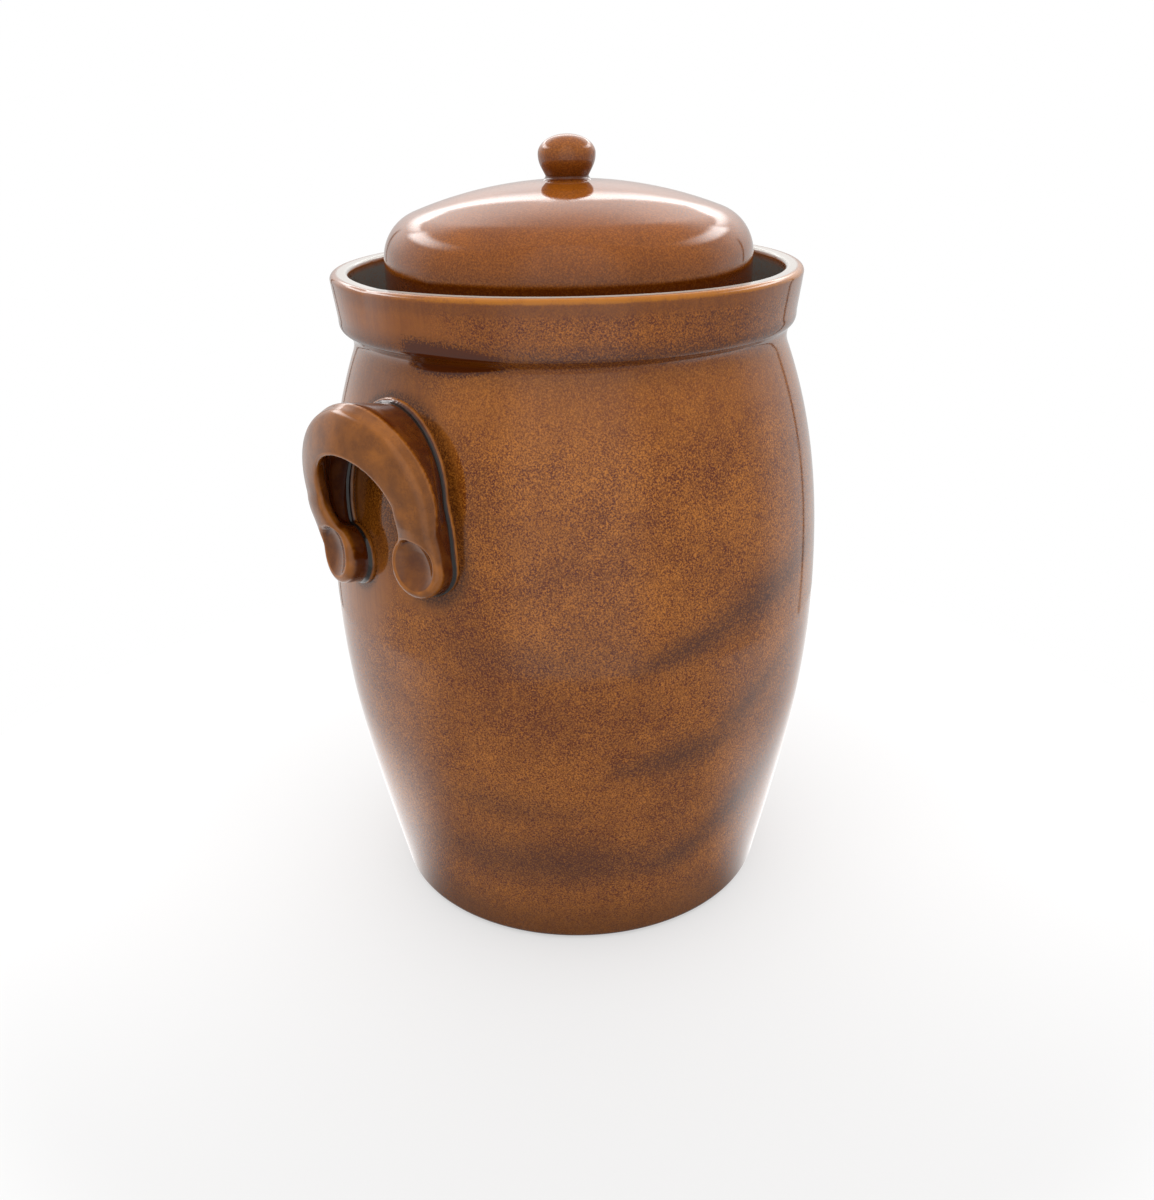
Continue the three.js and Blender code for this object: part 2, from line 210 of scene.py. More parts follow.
class GlazeLook(PropertyGroup):
    """Colours and grain of the glazes"""

    body_ground: colour("Body ground", "Orange-brown ground of the barrel", (0.61, 0.206, 0.024))
    rim_ground: colour("Rim ground", "Orange-brown ground of the rim", (0.57, 0.178, 0.018))
    body_speckle: colour("Body speckle", "Purple-brown speckle of the barrel", (0.075, 0.003, 0.001))
    body_cloud: colour("Body cloud", "Darker clouds on the barrel", (0.14, 0.03, 0.002))
    streak: colour("Streak", "Dark streaks on the barrel", (0.075, 0.022, 0.012))
    foot: colour("Foot", "Plainer brown near the foot", (0.15, 0.042, 0.002))
    lid_ground: colour("Lid ground", "Red-brown ground of the lid", (0.4, 0.116, 0.011))
    lid_speckle: colour("Lid speckle", "Speckle of the lid", (0.12, 0.026, 0.0))
    handle_ground: colour("Handle ground", "Brown ground of the handles", (0.23, 0.07, 0.007))
    handle_speckle: colour("Handle speckle", "Clouds on the handles", (0.11, 0.03, 0.003))
    thin: colour("Thin glaze", "Orange where the glaze breaks over an edge", (0.42, 0.135, 0.014))
    gold: colour("Gold", "Golden glaze on the rim's outer corner", (0.44, 0.145, 0.006))
    # Pale edge is a painted reflection: the lip's flat top is painted pale grey for the bright light it
    # mirrors.
    pale: colour("Pale edge", "Pale glaze on the lip's flat top", (0.6, 0.57, 0.52))
    # Seam is painted shade: the groove round each handle's root is painted near black.
    seam: colour("Seam", "Black glaze in the seam round a handle", (0.016, 0.014, 0.013))
    pool: colour("Pooled glaze", "Dark brown where the glaze is thick", (0.08, 0.012, 0.0))
    amber: colour("Amber", "Clear amber glaze round the pooled patch under the rim", (0.3, 0.085, 0.002))
    # Halo: deeper glaze and painted shade beside the handles' roots, and painted shade on the wall under
    # each arch.
    halo: colour("Halo", "Deeper glaze beside the handles' roots", (0.07, 0.016, 0.0))
    # The channel's mid grey is a painted reflection over dark glaze.
    channel: colour("Channel", "Dark glaze of the water channel", (0.21, 0.2, 0.18))
    inside: colour("Inside glaze", "Brown glaze inside the crock", (0.11, 0.04, 0.014))
    clay: colour("Bare clay", "Unglazed stoneware", (0.46, 0.34, 0.23))
    clay_speck: colour("Clay speck", "Iron specks in the clay", (0.2, 0.11, 0.06))
    speckle_size: length("Speckle size", "Size of the speckle", 0.8 * MM)
    cloud_size: length("Cloud size", "Size of the clouds", 60 * MM)


class StudioSetup(PropertyGroup):
    """Camera and light"""

    azimuth: angle("Azimuth", "Camera's turn round the crock", -45.5)
    distance: length("Distance", "Camera's distance from the crock's axis", 598 * MM)
    height: length("Height", "Camera's height", 408.5 * MM)
    pitch: angle("Pitch", "Camera's downward tilt", 23.5)
    roll: angle("Roll", "Camera's roll", -1.17)
    lens: amount("Lens", "Focal length in millimetres for a 36 mm long side", 35.66)
    shift: FloatProperty(name="Shift", description="Sideways shift of the frame", default=0.00104)
    floor_radius: length("Floor radius", "Radius of the floor", 0.42)
    floor_tone: share("Floor tone", "Grey of the floor", 0.41)
    floor_glow: share("Floor glow", "Brightness added where the camera sees the floor", 0.5)
    sky_low: amount("Low sky", "Strength of the soft light near the horizon", 0.45)
    sky_high: amount("High sky", "Strength of the soft light overhead", 1.75)
    strip: amount("Strip", "Brightness of the tent's strip lamp in reflections", 2.6)
    lamps: amount("Lamps", "Brightness of the tent's two side lamps in reflections", 5.0)


# Curves in the plane of radius and height

def arc(centre, radius, start, stop, steps, height_radius=None):
    turn = np.linspace(start, stop, steps + 1)
    rise = radius if height_radius is None else height_radius
    return np.column_stack((centre[0] + radius * np.cos(turn), centre[1] + rise * np.sin(turn)))


def bezier(first, first_pull, last_pull, last, steps):
    t = np.linspace(0, 1, steps + 1)[:, None]
    corners = [np.asarray(p, float) for p in (first, first_pull, last_pull, last)]
    weights = ((1 - t) ** 3, 3 * t * (1 - t) ** 2, 3 * t * t * (1 - t), t**3)
    return sum(w * c for w, c in zip(weights, corners))


def straight(first, last, steps):
    return np.linspace(first, last, steps + 1)


def moved_aside(line, distance):
    """The line moved to its left."""
    along = np.gradient(line, axis=0)
    along /= np.linalg.norm(along, axis=1)[:, None]
    return line + distance * np.column_stack((-along[:, 1], along[:, 0]))


def joined(*lines):
    """The lines end to end, without doubled points."""
    points = np.vstack([np.atleast_2d(line) for line in lines])
    step = np.linalg.norm(np.diff(points, axis=0), axis=1)
    return points[np.concatenate(([True], step > 0.01 * MM))]


def smoothstep(low, high, values):
    t = np.clip((values - low) / (high - low), 0, 1)
    return t * t * (3 - 2 * t)


def fade(low, high, values):
    """1 below the low value and 0 above the high one."""
    return 1 - smoothstep(low, high, values)


def window(low, full, falling, high, values):
    """1 from full to falling, and 0 below low and above high."""
    return smoothstep(low, full, values) * fade(falling, high, values)


def rounded_loop(corners, steps):
    """A smooth closed curve through the corners, for a stack of corner rows."""
    before = np.roll(corners, 1, axis=-2)
    after = np.roll(corners, -1, axis=-2)
    later = np.roll(corners, -2, axis=-2)
    rows = []
    for t in np.arange(steps) / steps:
        rows.append(
            corners
            + 0.5 * t * (after - before)
            + t * t * (before - 2.5 * corners + 2 * after - 0.5 * later)
            + t**3 * (1.5 * (corners - after) + 0.5 * (later - before))
        )
    loop = np.stack(rows, axis=-2)
    return loop.reshape(*corners.shape[:-2], -1, corners.shape[-1])


# Meshes

def points_of(mesh, what="co"):
    values = np.empty(len(mesh.vertices) * 3)
    mesh.vertices.foreach_get(what, values)
    return values.reshape(-1, 3)


def new_mesh(name, points, faces):
    mesh = bpy.data.meshes.new(name)
    mesh.from_pydata(points.tolist(), [], faces)
    mesh.update()
    return mesh


def grid_faces(rows, columns, close_rows=False):
    """Quads between rows of points, each row closed on itself."""
    faces = []
    for row in range(rows if close_rows else rows - 1):
        here, there = row * columns, (row + 1) % rows * columns
        for column in range(columns):
            after = (column + 1) % columns
            faces.append((here + column, here + after, there + after, there + column))
    return faces


def lathe(name, profile, segments):
    """Closed mesh of revolution. The profile starts and ends on the axis, or closes on itself."""
    turn = np.linspace(0, 2 * math.pi, segments, endpoint=False)
    on_axis = profile[0, 0] < 0.001 * MM
    rings = profile[1:-1] if on_axis else profile
    points = np.stack(
        (
            rings[:, :1] * np.cos(turn),
            rings[:, :1] * np.sin(turn),
            np.repeat(rings[:, 1:], segments, axis=1),
        ),
        axis=-1,
    ).reshape(-1, 3)
    faces = grid_faces(len(rings), segments, close_rows=not on_axis)
    if on_axis:
        low, high = len(points), len(points) + 1
        points = np.vstack((points, [(0, 0, profile[0, 1]), (0, 0, profile[-1, 1])]))
        last = (len(rings) - 1) * segments
        for column in range(segments):
            after = (column + 1) % segments
            faces.append((low, after, column))
            faces.append((high, last + column, last + after))
    return new_mesh(name, points, faces)


def set_points(mesh, points):
    mesh.vertices.foreach_set("co", np.ascontiguousarray(points, np.float32).ravel())
    mesh.update()


def write_masks(mesh, **masks):
    """Stores a value at each vertex under each name, for the materials to read."""
    for name, values in masks.items():
        mask = mesh.attributes.new(name, "FLOAT", "POINT")
        mask.data.foreach_set("value", np.asarray(values, np.float32))


def neighbours(mesh):
    """The two ends of each edge, and how many edges meet at each vertex."""
    ends = np.empty(len(mesh.edges) * 2, np.int32)
    mesh.edges.foreach_get("vertices", ends)
    a, b = ends.reshape(-1, 2).T
    return a, b, np.bincount(ends, minlength=len(mesh.vertices))


def gathered(a, b, at_a, at_b, around):
    """Mean at each vertex of what its edges bring there."""
    return (np.bincount(a, at_a, len(around)) + np.bincount(b, at_b, len(around))) / around


def write_edges(mesh, passes):
    """Marks how sharply the skin turns at each vertex, per metre: ridges above zero, hollows below."""
    points, normals = points_of(mesh), points_of(mesh, "normal")
    a, b, around = neighbours(mesh)
    step = points[b] - points[a]
    squared = np.maximum((step * step).sum(1), 1e-12)
    turn_a = -2 * (step * normals[a]).sum(1) / squared
    turn_b = 2 * (step * normals[b]).sum(1) / squared
    turn = gathered(a, b, turn_a, turn_b, around)
    for _ in range(passes):
        turn = (turn + gathered(a, b, turn[b], turn[a], around)) / 2
    write_masks(mesh, edge=turn)


def add_piece(name, mesh, material, body, slot, *nodes):
    """Puts a finished mesh in the scene in place of its CAD nodes."""
    mesh.shade_smooth()
    mesh.materials.clear()
    mesh.materials.append(material)
    piece = bpy.data.objects.new(name, mesh)
    bpy.context.scene.collection.objects.link(piece)
    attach(piece, body)
    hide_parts(*nodes)
    return piece


# Shader nodes

def title(maker):
    """Name of what a maker function builds."""
    return maker.__name__.replace("_", " ").title()


class Wiring:
    """Adds nodes to a tree, with each input given as a value or as the socket that feeds it."""

    def __init__(self, tree):
        self.tree = tree

    def add(self, kind, feeds, **settings):
        made = self.tree.nodes.new(kind)
        for name, value in settings.items():
            setattr(made, name, value)
        for name, value in feeds.items():
            if isinstance(value, bpy.types.NodeSocket):
                self.tree.links.new(value, made.inputs[name])
            else:
                made.inputs[name].default_value = (*value, 1.0) if isinstance(value, Color) else value
        return made

    def math(self, operation, first, second=0.0):
        return self.add("ShaderNodeMath", {0: first, 1: second}, operation=operation).outputs[0]

    def plus(self, first, second):
        return self.math("ADD", first, second)

    def minus(self, first, second):
        return self.math("SUBTRACT", first, second)

    def times(self, first, second):
        return self.math("MULTIPLY", first, second)

    def larger(self, first, second):
        return self.math("MAXIMUM", first, second)

    def ramp(self, value, low, high, start=0.0, end=1.0):
        feeds = {"Value": value, "From Min": low, "From Max": high, "To Min": start, "To Max": end}
        made = self.add("ShaderNodeMapRange", feeds, interpolation_type="SMOOTHSTEP")
        return made.outputs["Result"]

    def sweep(self, value, low, high, start=0.0, end=1.0):
        """A ramp between two angles in degrees."""
        return self.ramp(value, math.radians(low), math.radians(high), start, end)

    def mix(self, factor, first, second):
        feeds = {0: factor, 6: first, 7: second}
        return self.add("ShaderNodeMix", feeds, data_type="RGBA").outputs[2]

    def noise(self, place, scale, detail=2.0, roughness=0.5, distortion=0.0):
        feeds = {
            "Vector": place, "Scale": scale, "Detail": detail,
            "Roughness": roughness, "Distortion": distortion,
        }
        return self.add("ShaderNodeTexNoise", feeds).outputs["Fac"]

    def along(self, place, axis):
        made = self.add("ShaderNodeVectorMath", {0: place, 1: axis}, operation="DOT_PRODUCT")
        return made.outputs["Value"]

    def place(self):
        return self.add("ShaderNodeTexCoord", {}).outputs["Object"]

    def mask(self, name):
        return self.add("ShaderNodeAttribute", {}, attribute_name=name).outputs["Fac"]

    def group(self, maker, feeds):
        tree = bpy.data.node_groups.get(title(maker)) or maker()
        return self.add("ShaderNodeGroup", feeds, node_tree=tree).outputs


FLOAT, COLOUR = "NodeSocketFloat", "NodeSocketColor"
WHITE = (1.0, 1.0, 1.0, 1.0)


def new_group(name, inputs, outputs):
    """An empty shader node group with its sockets, and the nodes that hold them."""
    tree = bpy.data.node_groups.new(name, "ShaderNodeTree")
    for label, kind, default in inputs:
        socket = tree.interface.new_socket(label, in_out="INPUT", socket_type=kind)
        socket.default_value = default
    for label, kind in outputs:
        tree.interface.new_socket(label, in_out="OUTPUT", socket_type=kind)
    wires = Wiring(tree)
    return tree, wires, wires.add("NodeGroupInput", {}).outputs, wires.add("NodeGroupOutput", {})


def glaze_mottle():
    """Specks and clouds over a ground colour. Where the glaze is calm, brush strokes take their place."""
    tree, wires, given, made = new_group(
        "Glaze Mottle",
        [
            ("Ground", COLOUR, WHITE), ("Speckle", COLOUR, WHITE), ("Cloud", COLOUR, WHITE),
            ("Speckle Size", FLOAT, MM), ("Cloud Size", FLOAT, 60 * MM),
            ("Speckle Amount", FLOAT, 1.0), ("Cloud Amount", FLOAT, 1.0), ("Calm", FLOAT, 0.0),
        ],
        [("Color", COLOUR), ("Grain", FLOAT)],
    )
    place = wires.place()
    fine = wires.math("DIVIDE", 1.0, given["Speckle Size"])
    wide = wires.math("DIVIDE", 1.0, given["Cloud Size"])
    grain = wires.noise(place, fine, detail=3.0, roughness=0.8)
    drift = wires.ramp(wires.noise(place, wires.times(fine, 0.02), detail=3.0), 0.3, 0.7, -0.03, 0.03)
    speck = wires.ramp(wires.plus(grain, drift), 0.34, 0.6)
    speck = wires.ramp(given["Calm"], 0.0, 1.0, speck, 0.5)
    speck = wires.times(speck, given["Speckle Amount"])
    cloud = wires.noise(place, wide, detail=4.0, roughness=0.6, distortion=0.6)
    shade = wires.times(wires.ramp(cloud, 0.45, 0.72), given["Cloud Amount"])
    brushed = wires.add("ShaderNodeVectorMath", {0: place, 1: (1.0, 1.0, 0.05)}, operation="MULTIPLY")
    strokes = wires.ramp(wires.noise(brushed.outputs["Vector"], 420.0, detail=3.0), 0.4, 0.7, 0.0, 0.28)
    shade = wires.larger(shade, wires.times(strokes, given["Calm"]))
    clouded = wires.mix(shade, given["Ground"], given["Cloud"])
    kind = wires.ramp(wires.noise(place, wires.times(fine, 0.15)), 0.35, 0.65)
    spot = wires.mix(kind, given["Speckle"], given["Cloud"])
    tree.links.new(wires.mix(speck, clouded, spot), made.inputs["Color"])
    tree.links.new(grain, made.inputs["Grain"])
    return tree


def glaze_break():
    """Glaze runs thin over ridges, where it turns orange, and pools dark in hollows."""
    tree, wires, given, made = new_group(
        "Glaze Break",
        [
            ("Color", COLOUR, WHITE), ("Thin", COLOUR, WHITE), ("Pool", COLOUR, WHITE),
            ("Thin Amount", FLOAT, 1.0), ("Pool Amount", FLOAT, 1.0),
        ],
        [("Color", COLOUR)],
    )
    turn = wires.mask("edge")
    uneven = wires.ramp(wires.noise(wires.place(), 140.0, detail=3.0), 0.3, 0.65, 0.45, 1.0)
    thin = wires.times(wires.times(wires.ramp(turn, 60.0, 180.0), uneven), given["Thin Amount"])
    pool = wires.times(wires.ramp(wires.times(turn, -1.0), 40.0, 200.0), given["Pool Amount"])
    broken = wires.mix(thin, given["Color"], given["Thin"])
    tree.links.new(wires.mix(pool, broken, given["Pool"]), made.inputs["Color"])
    return tree


def glaze_skin():
    """Roughness and height of a glassy skin with a faint orange peel and sunken specks."""
    tree, wires, given, made = new_group(
        "Glaze Skin",
        [("Grain", FLOAT, 0.5), ("Gloss", FLOAT, 0.1), ("Dull", FLOAT, 0.2), ("Peel", FLOAT, 0.5)],
        [("Roughness", FLOAT), ("Height", FLOAT)],
    )
    place = wires.place()
    patches = wires.ramp(wires.noise(place, 45.0, detail=3.0), 0.35, 0.7)
    tree.links.new(wires.ramp(patches, 0.0, 1.0, given["Gloss"], given["Dull"]), made.inputs["Roughness"])
    peel = wires.times(wires.noise(place, 160.0, detail=1.0), given["Peel"])
    tree.links.new(wires.plus(peel, wires.times(given["Grain"], 0.25)), made.inputs["Height"])
    return tree


def new_material(name):
    material = bpy.data.materials.new(name)
    material.use_nodes = True
    material.node_tree.nodes.clear()
    return material, Wiring(material.node_tree)


def mottled(wires, look, ground, speckle, cloud, specks, clouds, coarse=1.0, close=1.0, calm=0.0):
    """Colour and grain of a speckled glaze, from its colours and the amounts of specks and clouds."""
    feeds = {
        "Ground": ground, "Speckle": speckle, "Cloud": cloud,
        "Speckle Size": look.speckle_size * coarse, "Cloud Size": look.cloud_size / close,
        "Speckle Amount": specks, "Cloud Amount": clouds, "Calm": calm,
    }
    made = wires.group(glaze_mottle, feeds)
    return made["Color"], made["Grain"]


def broken_glaze(wires, look, base, thin_amount, pool_amount):
    feeds = {
        "Color": base, "Thin": look.thin, "Pool": look.pool,
        "Thin Amount": thin_amount, "Pool Amount": pool_amount,
    }
    return wires.group(glaze_break, feeds)["Color"]


def end_material(wires, base, roughness, height, relief, ior):
    bump = wires.add("ShaderNodeBump", {"Strength": 1.0, "Distance": relief, "Height": height})
    feeds = {"Base Color": base, "Roughness": roughness, "Normal": bump.outputs["Normal"], "IOR": ior}
    shader = wires.add("ShaderNodeBsdfPrincipled", feeds)
    wires.add("ShaderNodeOutputMaterial", {"Surface": shader.outputs["BSDF"]})


def end_glaze(wires, base, grain, gloss=0.05, dull=0.1, peel=0.5, relief=0.03 * MM):
    """Ends a glaze material: colour, skin and one shader."""
    skin = wires.group(glaze_skin, {"Grain": grain, "Gloss": gloss, "Dull": dull, "Peel": peel})
    end_material(wires, base, skin["Roughness"], skin["Height"], relief, 1.52)


def body_glaze(look):
    """Speckled orange-brown glaze of the barrel, with streaks, a plainer foot and a dark inside."""
    material, wires = new_material("Body Glaze")
    mottle, grain = mottled(
        wires, look, look.body_ground, look.body_speckle, look.body_cloud, 0.95, 0.25,
        calm=wires.mask("calm"),
    )
    sandy = wires.ramp(grain, 0.32, 0.62, 0.5, 1.0)
    streaked = wires.mix(wires.times(wires.mask("streak"), sandy), mottle, look.streak)
    height = wires.add("ShaderNodeSeparateXYZ", {"Vector": wires.place()}).outputs["Z"]
    footed = wires.mix(wires.ramp(height, 4 * MM, 38 * MM, 0.75, 0.0), streaked, look.foot)
    grainy = wires.ramp(grain, 0.34, 0.62, 0.2, 1.15)
    # Deeper glaze and painted shade by the handles' roots, and painted shade under their arches.
    halo = wires.mix(wires.times(wires.mask("halo"), grainy), footed, look.halo)
    inner = wires.mix(wires.mask("inside"), halo, look.inside)
    base = wires.mix(wires.ramp(height, 0.2 * MM, 0.8 * MM, 1.0, 0.0), inner, look.clay)
    end_glaze(wires, base, grain)
    return material


def rim_glaze(look):
    """The barrel's glaze on the rim, golden on the lip's corner, with a dark patch in the crease, painted
    shade in the crease and on the rim's front-right, a pale painted reflection on the lip's flat top and a
    grey painted reflection in the channel.
    """
    material, wires = new_material("Rim Glaze")
    ground = wires.mix(wires.mask("neck"), look.rim_ground, look.body_ground)
    mottle, grain = mottled(
        wires, look, ground, look.body_speckle, look.body_cloud, 0.95, 0.25,
        calm=wires.mask("calm"),
    )
    sandy = wires.ramp(grain, 0.32, 0.62, 0.5, 1.0)
    # The rim's inside takes the channel grey, a painted reflection.
    channel = wires.mix(wires.mask("inside"), mottle, look.channel)
    # The mask paints shade in the crease and on the front-right; together with the streak stains it darkens
    # towards the streak colour.
    dark = wires.larger(wires.mask("pooled"), wires.mask("stain"))
    deeper = wires.mix(wires.times(dark, sandy), channel, look.streak)
    place = wires.place()
    ragged = wires.ramp(wires.noise(place, 1100.0, detail=3.0, roughness=0.8), 0.3, 0.7)
    depth = wires.minus(wires.times(wires.mask("patch"), 1.3), ragged)
    amber = wires.mix(wires.ramp(depth, -0.25, 0.0), deeper, look.amber)
    pooled = wires.mix(wires.ramp(depth, 0.0, 0.35, 0.0, 0.95), amber, look.pool)
    broken = wires.ramp(wires.noise(place, 90.0, detail=3.0), 0.35, 0.65, 0.8, 1.2)
    edge = wires.minus(wires.times(wires.mask("band"), broken), wires.times(ragged, 0.4))
    golden = wires.mix(wires.ramp(edge, 0.05, 0.85), pooled, look.gold)
    # The lip's flat top takes the pale colour as a painted reflection.
    end_glaze(wires, wires.mix(wires.mask("pale"), golden, look.pale), grain, 0.04, 0.09)
    return material


def lid_glaze(look):
    """Smoother red-brown glaze of the lid and knob."""
    material, wires = new_material("Lid Glaze")
    mottle, grain = mottled(wires, look, look.lid_ground, look.lid_speckle, look.body_cloud, 0.75, 0.3)
    sandy = wires.ramp(grain, 0.32, 0.62, 0.8, 1.15)
    # Painted shade and reflection: the skirt's dark band and the knob's lower half take the pool colour.
    pooled = wires.mix(wires.times(wires.mask("pooled"), sandy), mottle, look.pool)
    end_glaze(wires, broken_glaze(wires, look, pooled, 0.5, 0.6), grain)
    return material


def handle_glaze(look):
    """Runny brown glaze of the handles, orange on every ridge, with painted shade near the wall, painted
    shade and reflection on the flanks and inside the arch, and painted black shade in the root's groove.
    """
    material, wires = new_material("Handle Glaze")
    mottle, grain = mottled(
        wires, look, look.handle_ground, look.handle_speckle, look.thin, 0.4, 0.5, coarse=1.5, close=4.0
    )
    runs = wires.ramp(wires.noise(wires.place(), 150.0, detail=3.0), 0.35, 0.65, 0.8, 1.12)
    # Painted shade and reflection near the wall and on the flanks, with real runs at the legs' ends, take
    # the pool colour.
    pooled = wires.mix(wires.times(wires.mask("pooled"), runs), mottle, look.pool)
    broken = broken_glaze(wires, look, pooled, 0.9, 0.8)
    # The seam mask paints the root's groove near black as painted shade.
    end_glaze(wires, wires.mix(wires.mask("seam"), broken, look.seam), grain)
    return material


def channel_glaze(look):
    """Glaze of the channel's bed and collar, dark glaze painted mid grey as a painted reflection, with
    brown clouds.
    """
    material, wires = new_material("Channel Glaze")
    mottle, grain = mottled(
        wires, look, look.channel, look.body_speckle, look.inside, 0.3, 0.5, coarse=2.0, close=2.0
    )
    end_glaze(wires, broken_glaze(wires, look, mottle, 0.7, 0.5), grain, 0.06, 0.16, 0.6, 0.04 * MM)
    return material


def bare_stoneware(look):
    """Unglazed clay with iron specks and a sandy tooth."""
    material, wires = new_material("Bare Stoneware")
    place = wires.place()
    specks = wires.ramp(wires.noise(place, 420.0), 0.66, 0.74, 0.0, 0.8)
    tone = wires.ramp(wires.noise(place, 35.0, detail=4.0), 0.3, 0.7, 0.0, 0.35)
    base = wires.mix(specks, wires.mix(tone, look.clay, look.clay_speck), look.clay_speck)
    sand = wires.noise(place, 1600.0, detail=3.0)
    end_material(wires, base, wires.ramp(sand, 0.3, 0.7, 0.65, 0.85), sand, 0.15 * MM, 1.5)
    return material


def finished(maker):
    """The material that a maker function builds, made once."""
    return bpy.data.materials.get(title(maker)) or maker(bpy.context.scene.crock_glaze)


# Barrel

def outer_wall(barrel):
    """Outside of the barrel from the foot to the neck."""
    foot = (barrel.foot_radius, barrel.foot_edge)
    foot_arc = arc(foot, barrel.foot_edge, -math.pi / 2, -barrel.foot_flare, 10)
    flare = np.array((math.sin(barrel.foot_flare), math.cos(barrel.foot_flare)))
    belly = np.array((barrel.belly_radius, barrel.belly_height))
    lower = bezier(
        foot_arc[-1], foot_arc[-1] + barrel.belly_ease * flare, belly - (0, barrel.belly_ease), belly, 84
    )
    neck = np.array((barrel.neck_radius, barrel.neck_height))
    lean = np.array((math.sin(barrel.neck_lean), -math.cos(barrel.neck_lean)))
    upper = bezier(
        belly, belly + (0, barrel.shoulder_ease), neck + barrel.neck_ease * lean, neck, 64
    )
    return joined(foot_arc, lower, upper)


def wall_radius(barrel, heights):
    wall = outer_wall(barrel)
    return np.interp(heights, wall[:, 1], wall[:, 0])


def barrel_profile(barrel):
    outside = outer_wall(barrel)
    inside = moved_aside(outside, barrel.wall)
    fillet_top = barrel.floor + barrel.floor_fillet
    inside = inside[inside[:, 1] > fillet_top]
    inside = inside[inside[:, 1] < barrel.neck_height - 0.5 * MM]
    inside[:, 0] += barrel.throwing_depth * np.sin(2 * math.pi * inside[:, 1] / barrel.throwing_pitch)
    flat = np.interp(fillet_top, outside[:, 1], outside[:, 0]) - barrel.wall - barrel.floor_fillet
    return joined(
        straight((0, 0), outside[0], 12),
        outside,
        (barrel.neck_radius - barrel.wall, barrel.neck_height),
        inside[::-1],
        arc((flat, fillet_top), barrel.floor_fillet, 0, -math.pi / 2, 10),
        straight((flat, barrel.floor), (0, barrel.floor), 12),
    )


# Dark streaks: start and end as degrees round the barrel and height, then half width and depth
STREAKS = (
    ((290, 200 * MM), (246, 175 * MM), 11 * MM, 0.85),
    ((264, 184 * MM), (236, 166 * MM), 8 * MM, 0.95),
    ((264, 121 * MM), (234, 113 * MM), 10 * MM, 0.9),
    ((280, 152 * MM), (252, 118 * MM), 10 * MM, 0.75),
    ((284, 90 * MM), (252, 56 * MM), 12 * MM, 0.85),
    ((262, 60 * MM), (238, 46 * MM), 10 * MM, 0.85),
    ((248, 54 * MM), (184, 56 * MM), 18 * MM, 0.75),
    ((224, 88 * MM), (190, 92 * MM), 12 * MM, 0.45),
    ((246, 170 * MM), (202, 174 * MM), 12 * MM, 0.38),
    ((150, 282 * MM), (190, 288 * MM), 15 * MM, 0.6),
    ((100, 214 * MM), (58, 186 * MM), 11 * MM, 0.7),
    ((84, 132 * MM), (28, 108 * MM), 12 * MM, 0.7),
    ((150, 84 * MM), (70, 60 * MM), 14 * MM, 0.55),
    ((20, 78 * MM), (-44, 62 * MM), 14 * MM, 0.5),
)


def streak_mask(points, barrel):
    """How deep in a dark streak each point lies."""
    turn = np.degrees(np.arctan2(points[:, 1], points[:, 0]))
    mask = np.zeros(len(points))
    for (turn_a, height_a), (turn_b, height_b), half_width, depth in STREAKS:
        around = (turn - turn_a + 180) % 360 - 180
        across = np.column_stack((np.radians(around) * barrel.belly_radius, points[:, 2] - height_a))
        run = np.array((math.radians(turn_b - turn_a) * barrel.belly_radius, height_b - height_a))
        share_along = np.clip(across @ run / (run @ run), 0, 1)
        away = np.linalg.norm(across - share_along[:, None] * run, axis=1)
        taper = 0.45 + 0.55 * np.sin(math.pi * np.clip(share_along, 0.08, 0.92))
        mask = np.maximum(mask, depth * taper * np.exp(-((away / (half_width * taper)) ** 2)))
    return mask


def calm_mask(points, near):
    """Where a sponge has smoothed the glaze: round each handle, wider on one side, and on the neck."""
    x, y, z = points.T
    wide = (6 + 52 * smoothstep(-60 * MM, 60 * MM, -y * np.sign(x))) * MM
    neck = window(245 * MM, 285 * MM, 296 * MM, 304 * MM, z)
    return np.maximum(fade(1 * MM, wide, near), 0.45 * neck)


class CROCK_OT_barrel(Operator):
    """Build the barrel with its streaked and speckled glaze"""

    bl_idname = "crock.barrel"
    bl_label = "Barrel"

    def execute(self, context):
        barrel = context.scene.crock_barrel
        mesh = lathe("barrel", barrel_profile(barrel), SEGMENTS)
        points = points_of(mesh)
        x, y, z = points.T
        outside = np.hypot(x, y) > wall_radius(barrel, z) - barrel.wall / 2
        near = distance_to_handles(context.scene, points)
        beside = smoothstep(0, 20 * MM, y * np.sign(x))
        # Deeper glaze and painted shade just beside each handle's root, wider on one side.
        halo = 0.95 * fade((1 + beside) * MM, (4 + 4 * beside) * MM, near)
        # Painted shade on the wall under each handle's arch.
        under_arch = fade(14 * MM, 26 * MM, np.abs(y)) * window(198 * MM, 214 * MM, 252 * MM, 266 * MM, z)
        write_masks(
            mesh,
            inside=~outside & (z > barrel.floor / 2),
            streak=outside * streak_mask(points, barrel),
            halo=outside * np.maximum(halo, 0.75 * under_arch),
            calm=calm_mask(points, near),
        )
        add_piece("barrel", mesh, finished(body_glaze), "crock", "body_glaze", "crock_body")
        return {"FINISHED"}


# Rim and channel

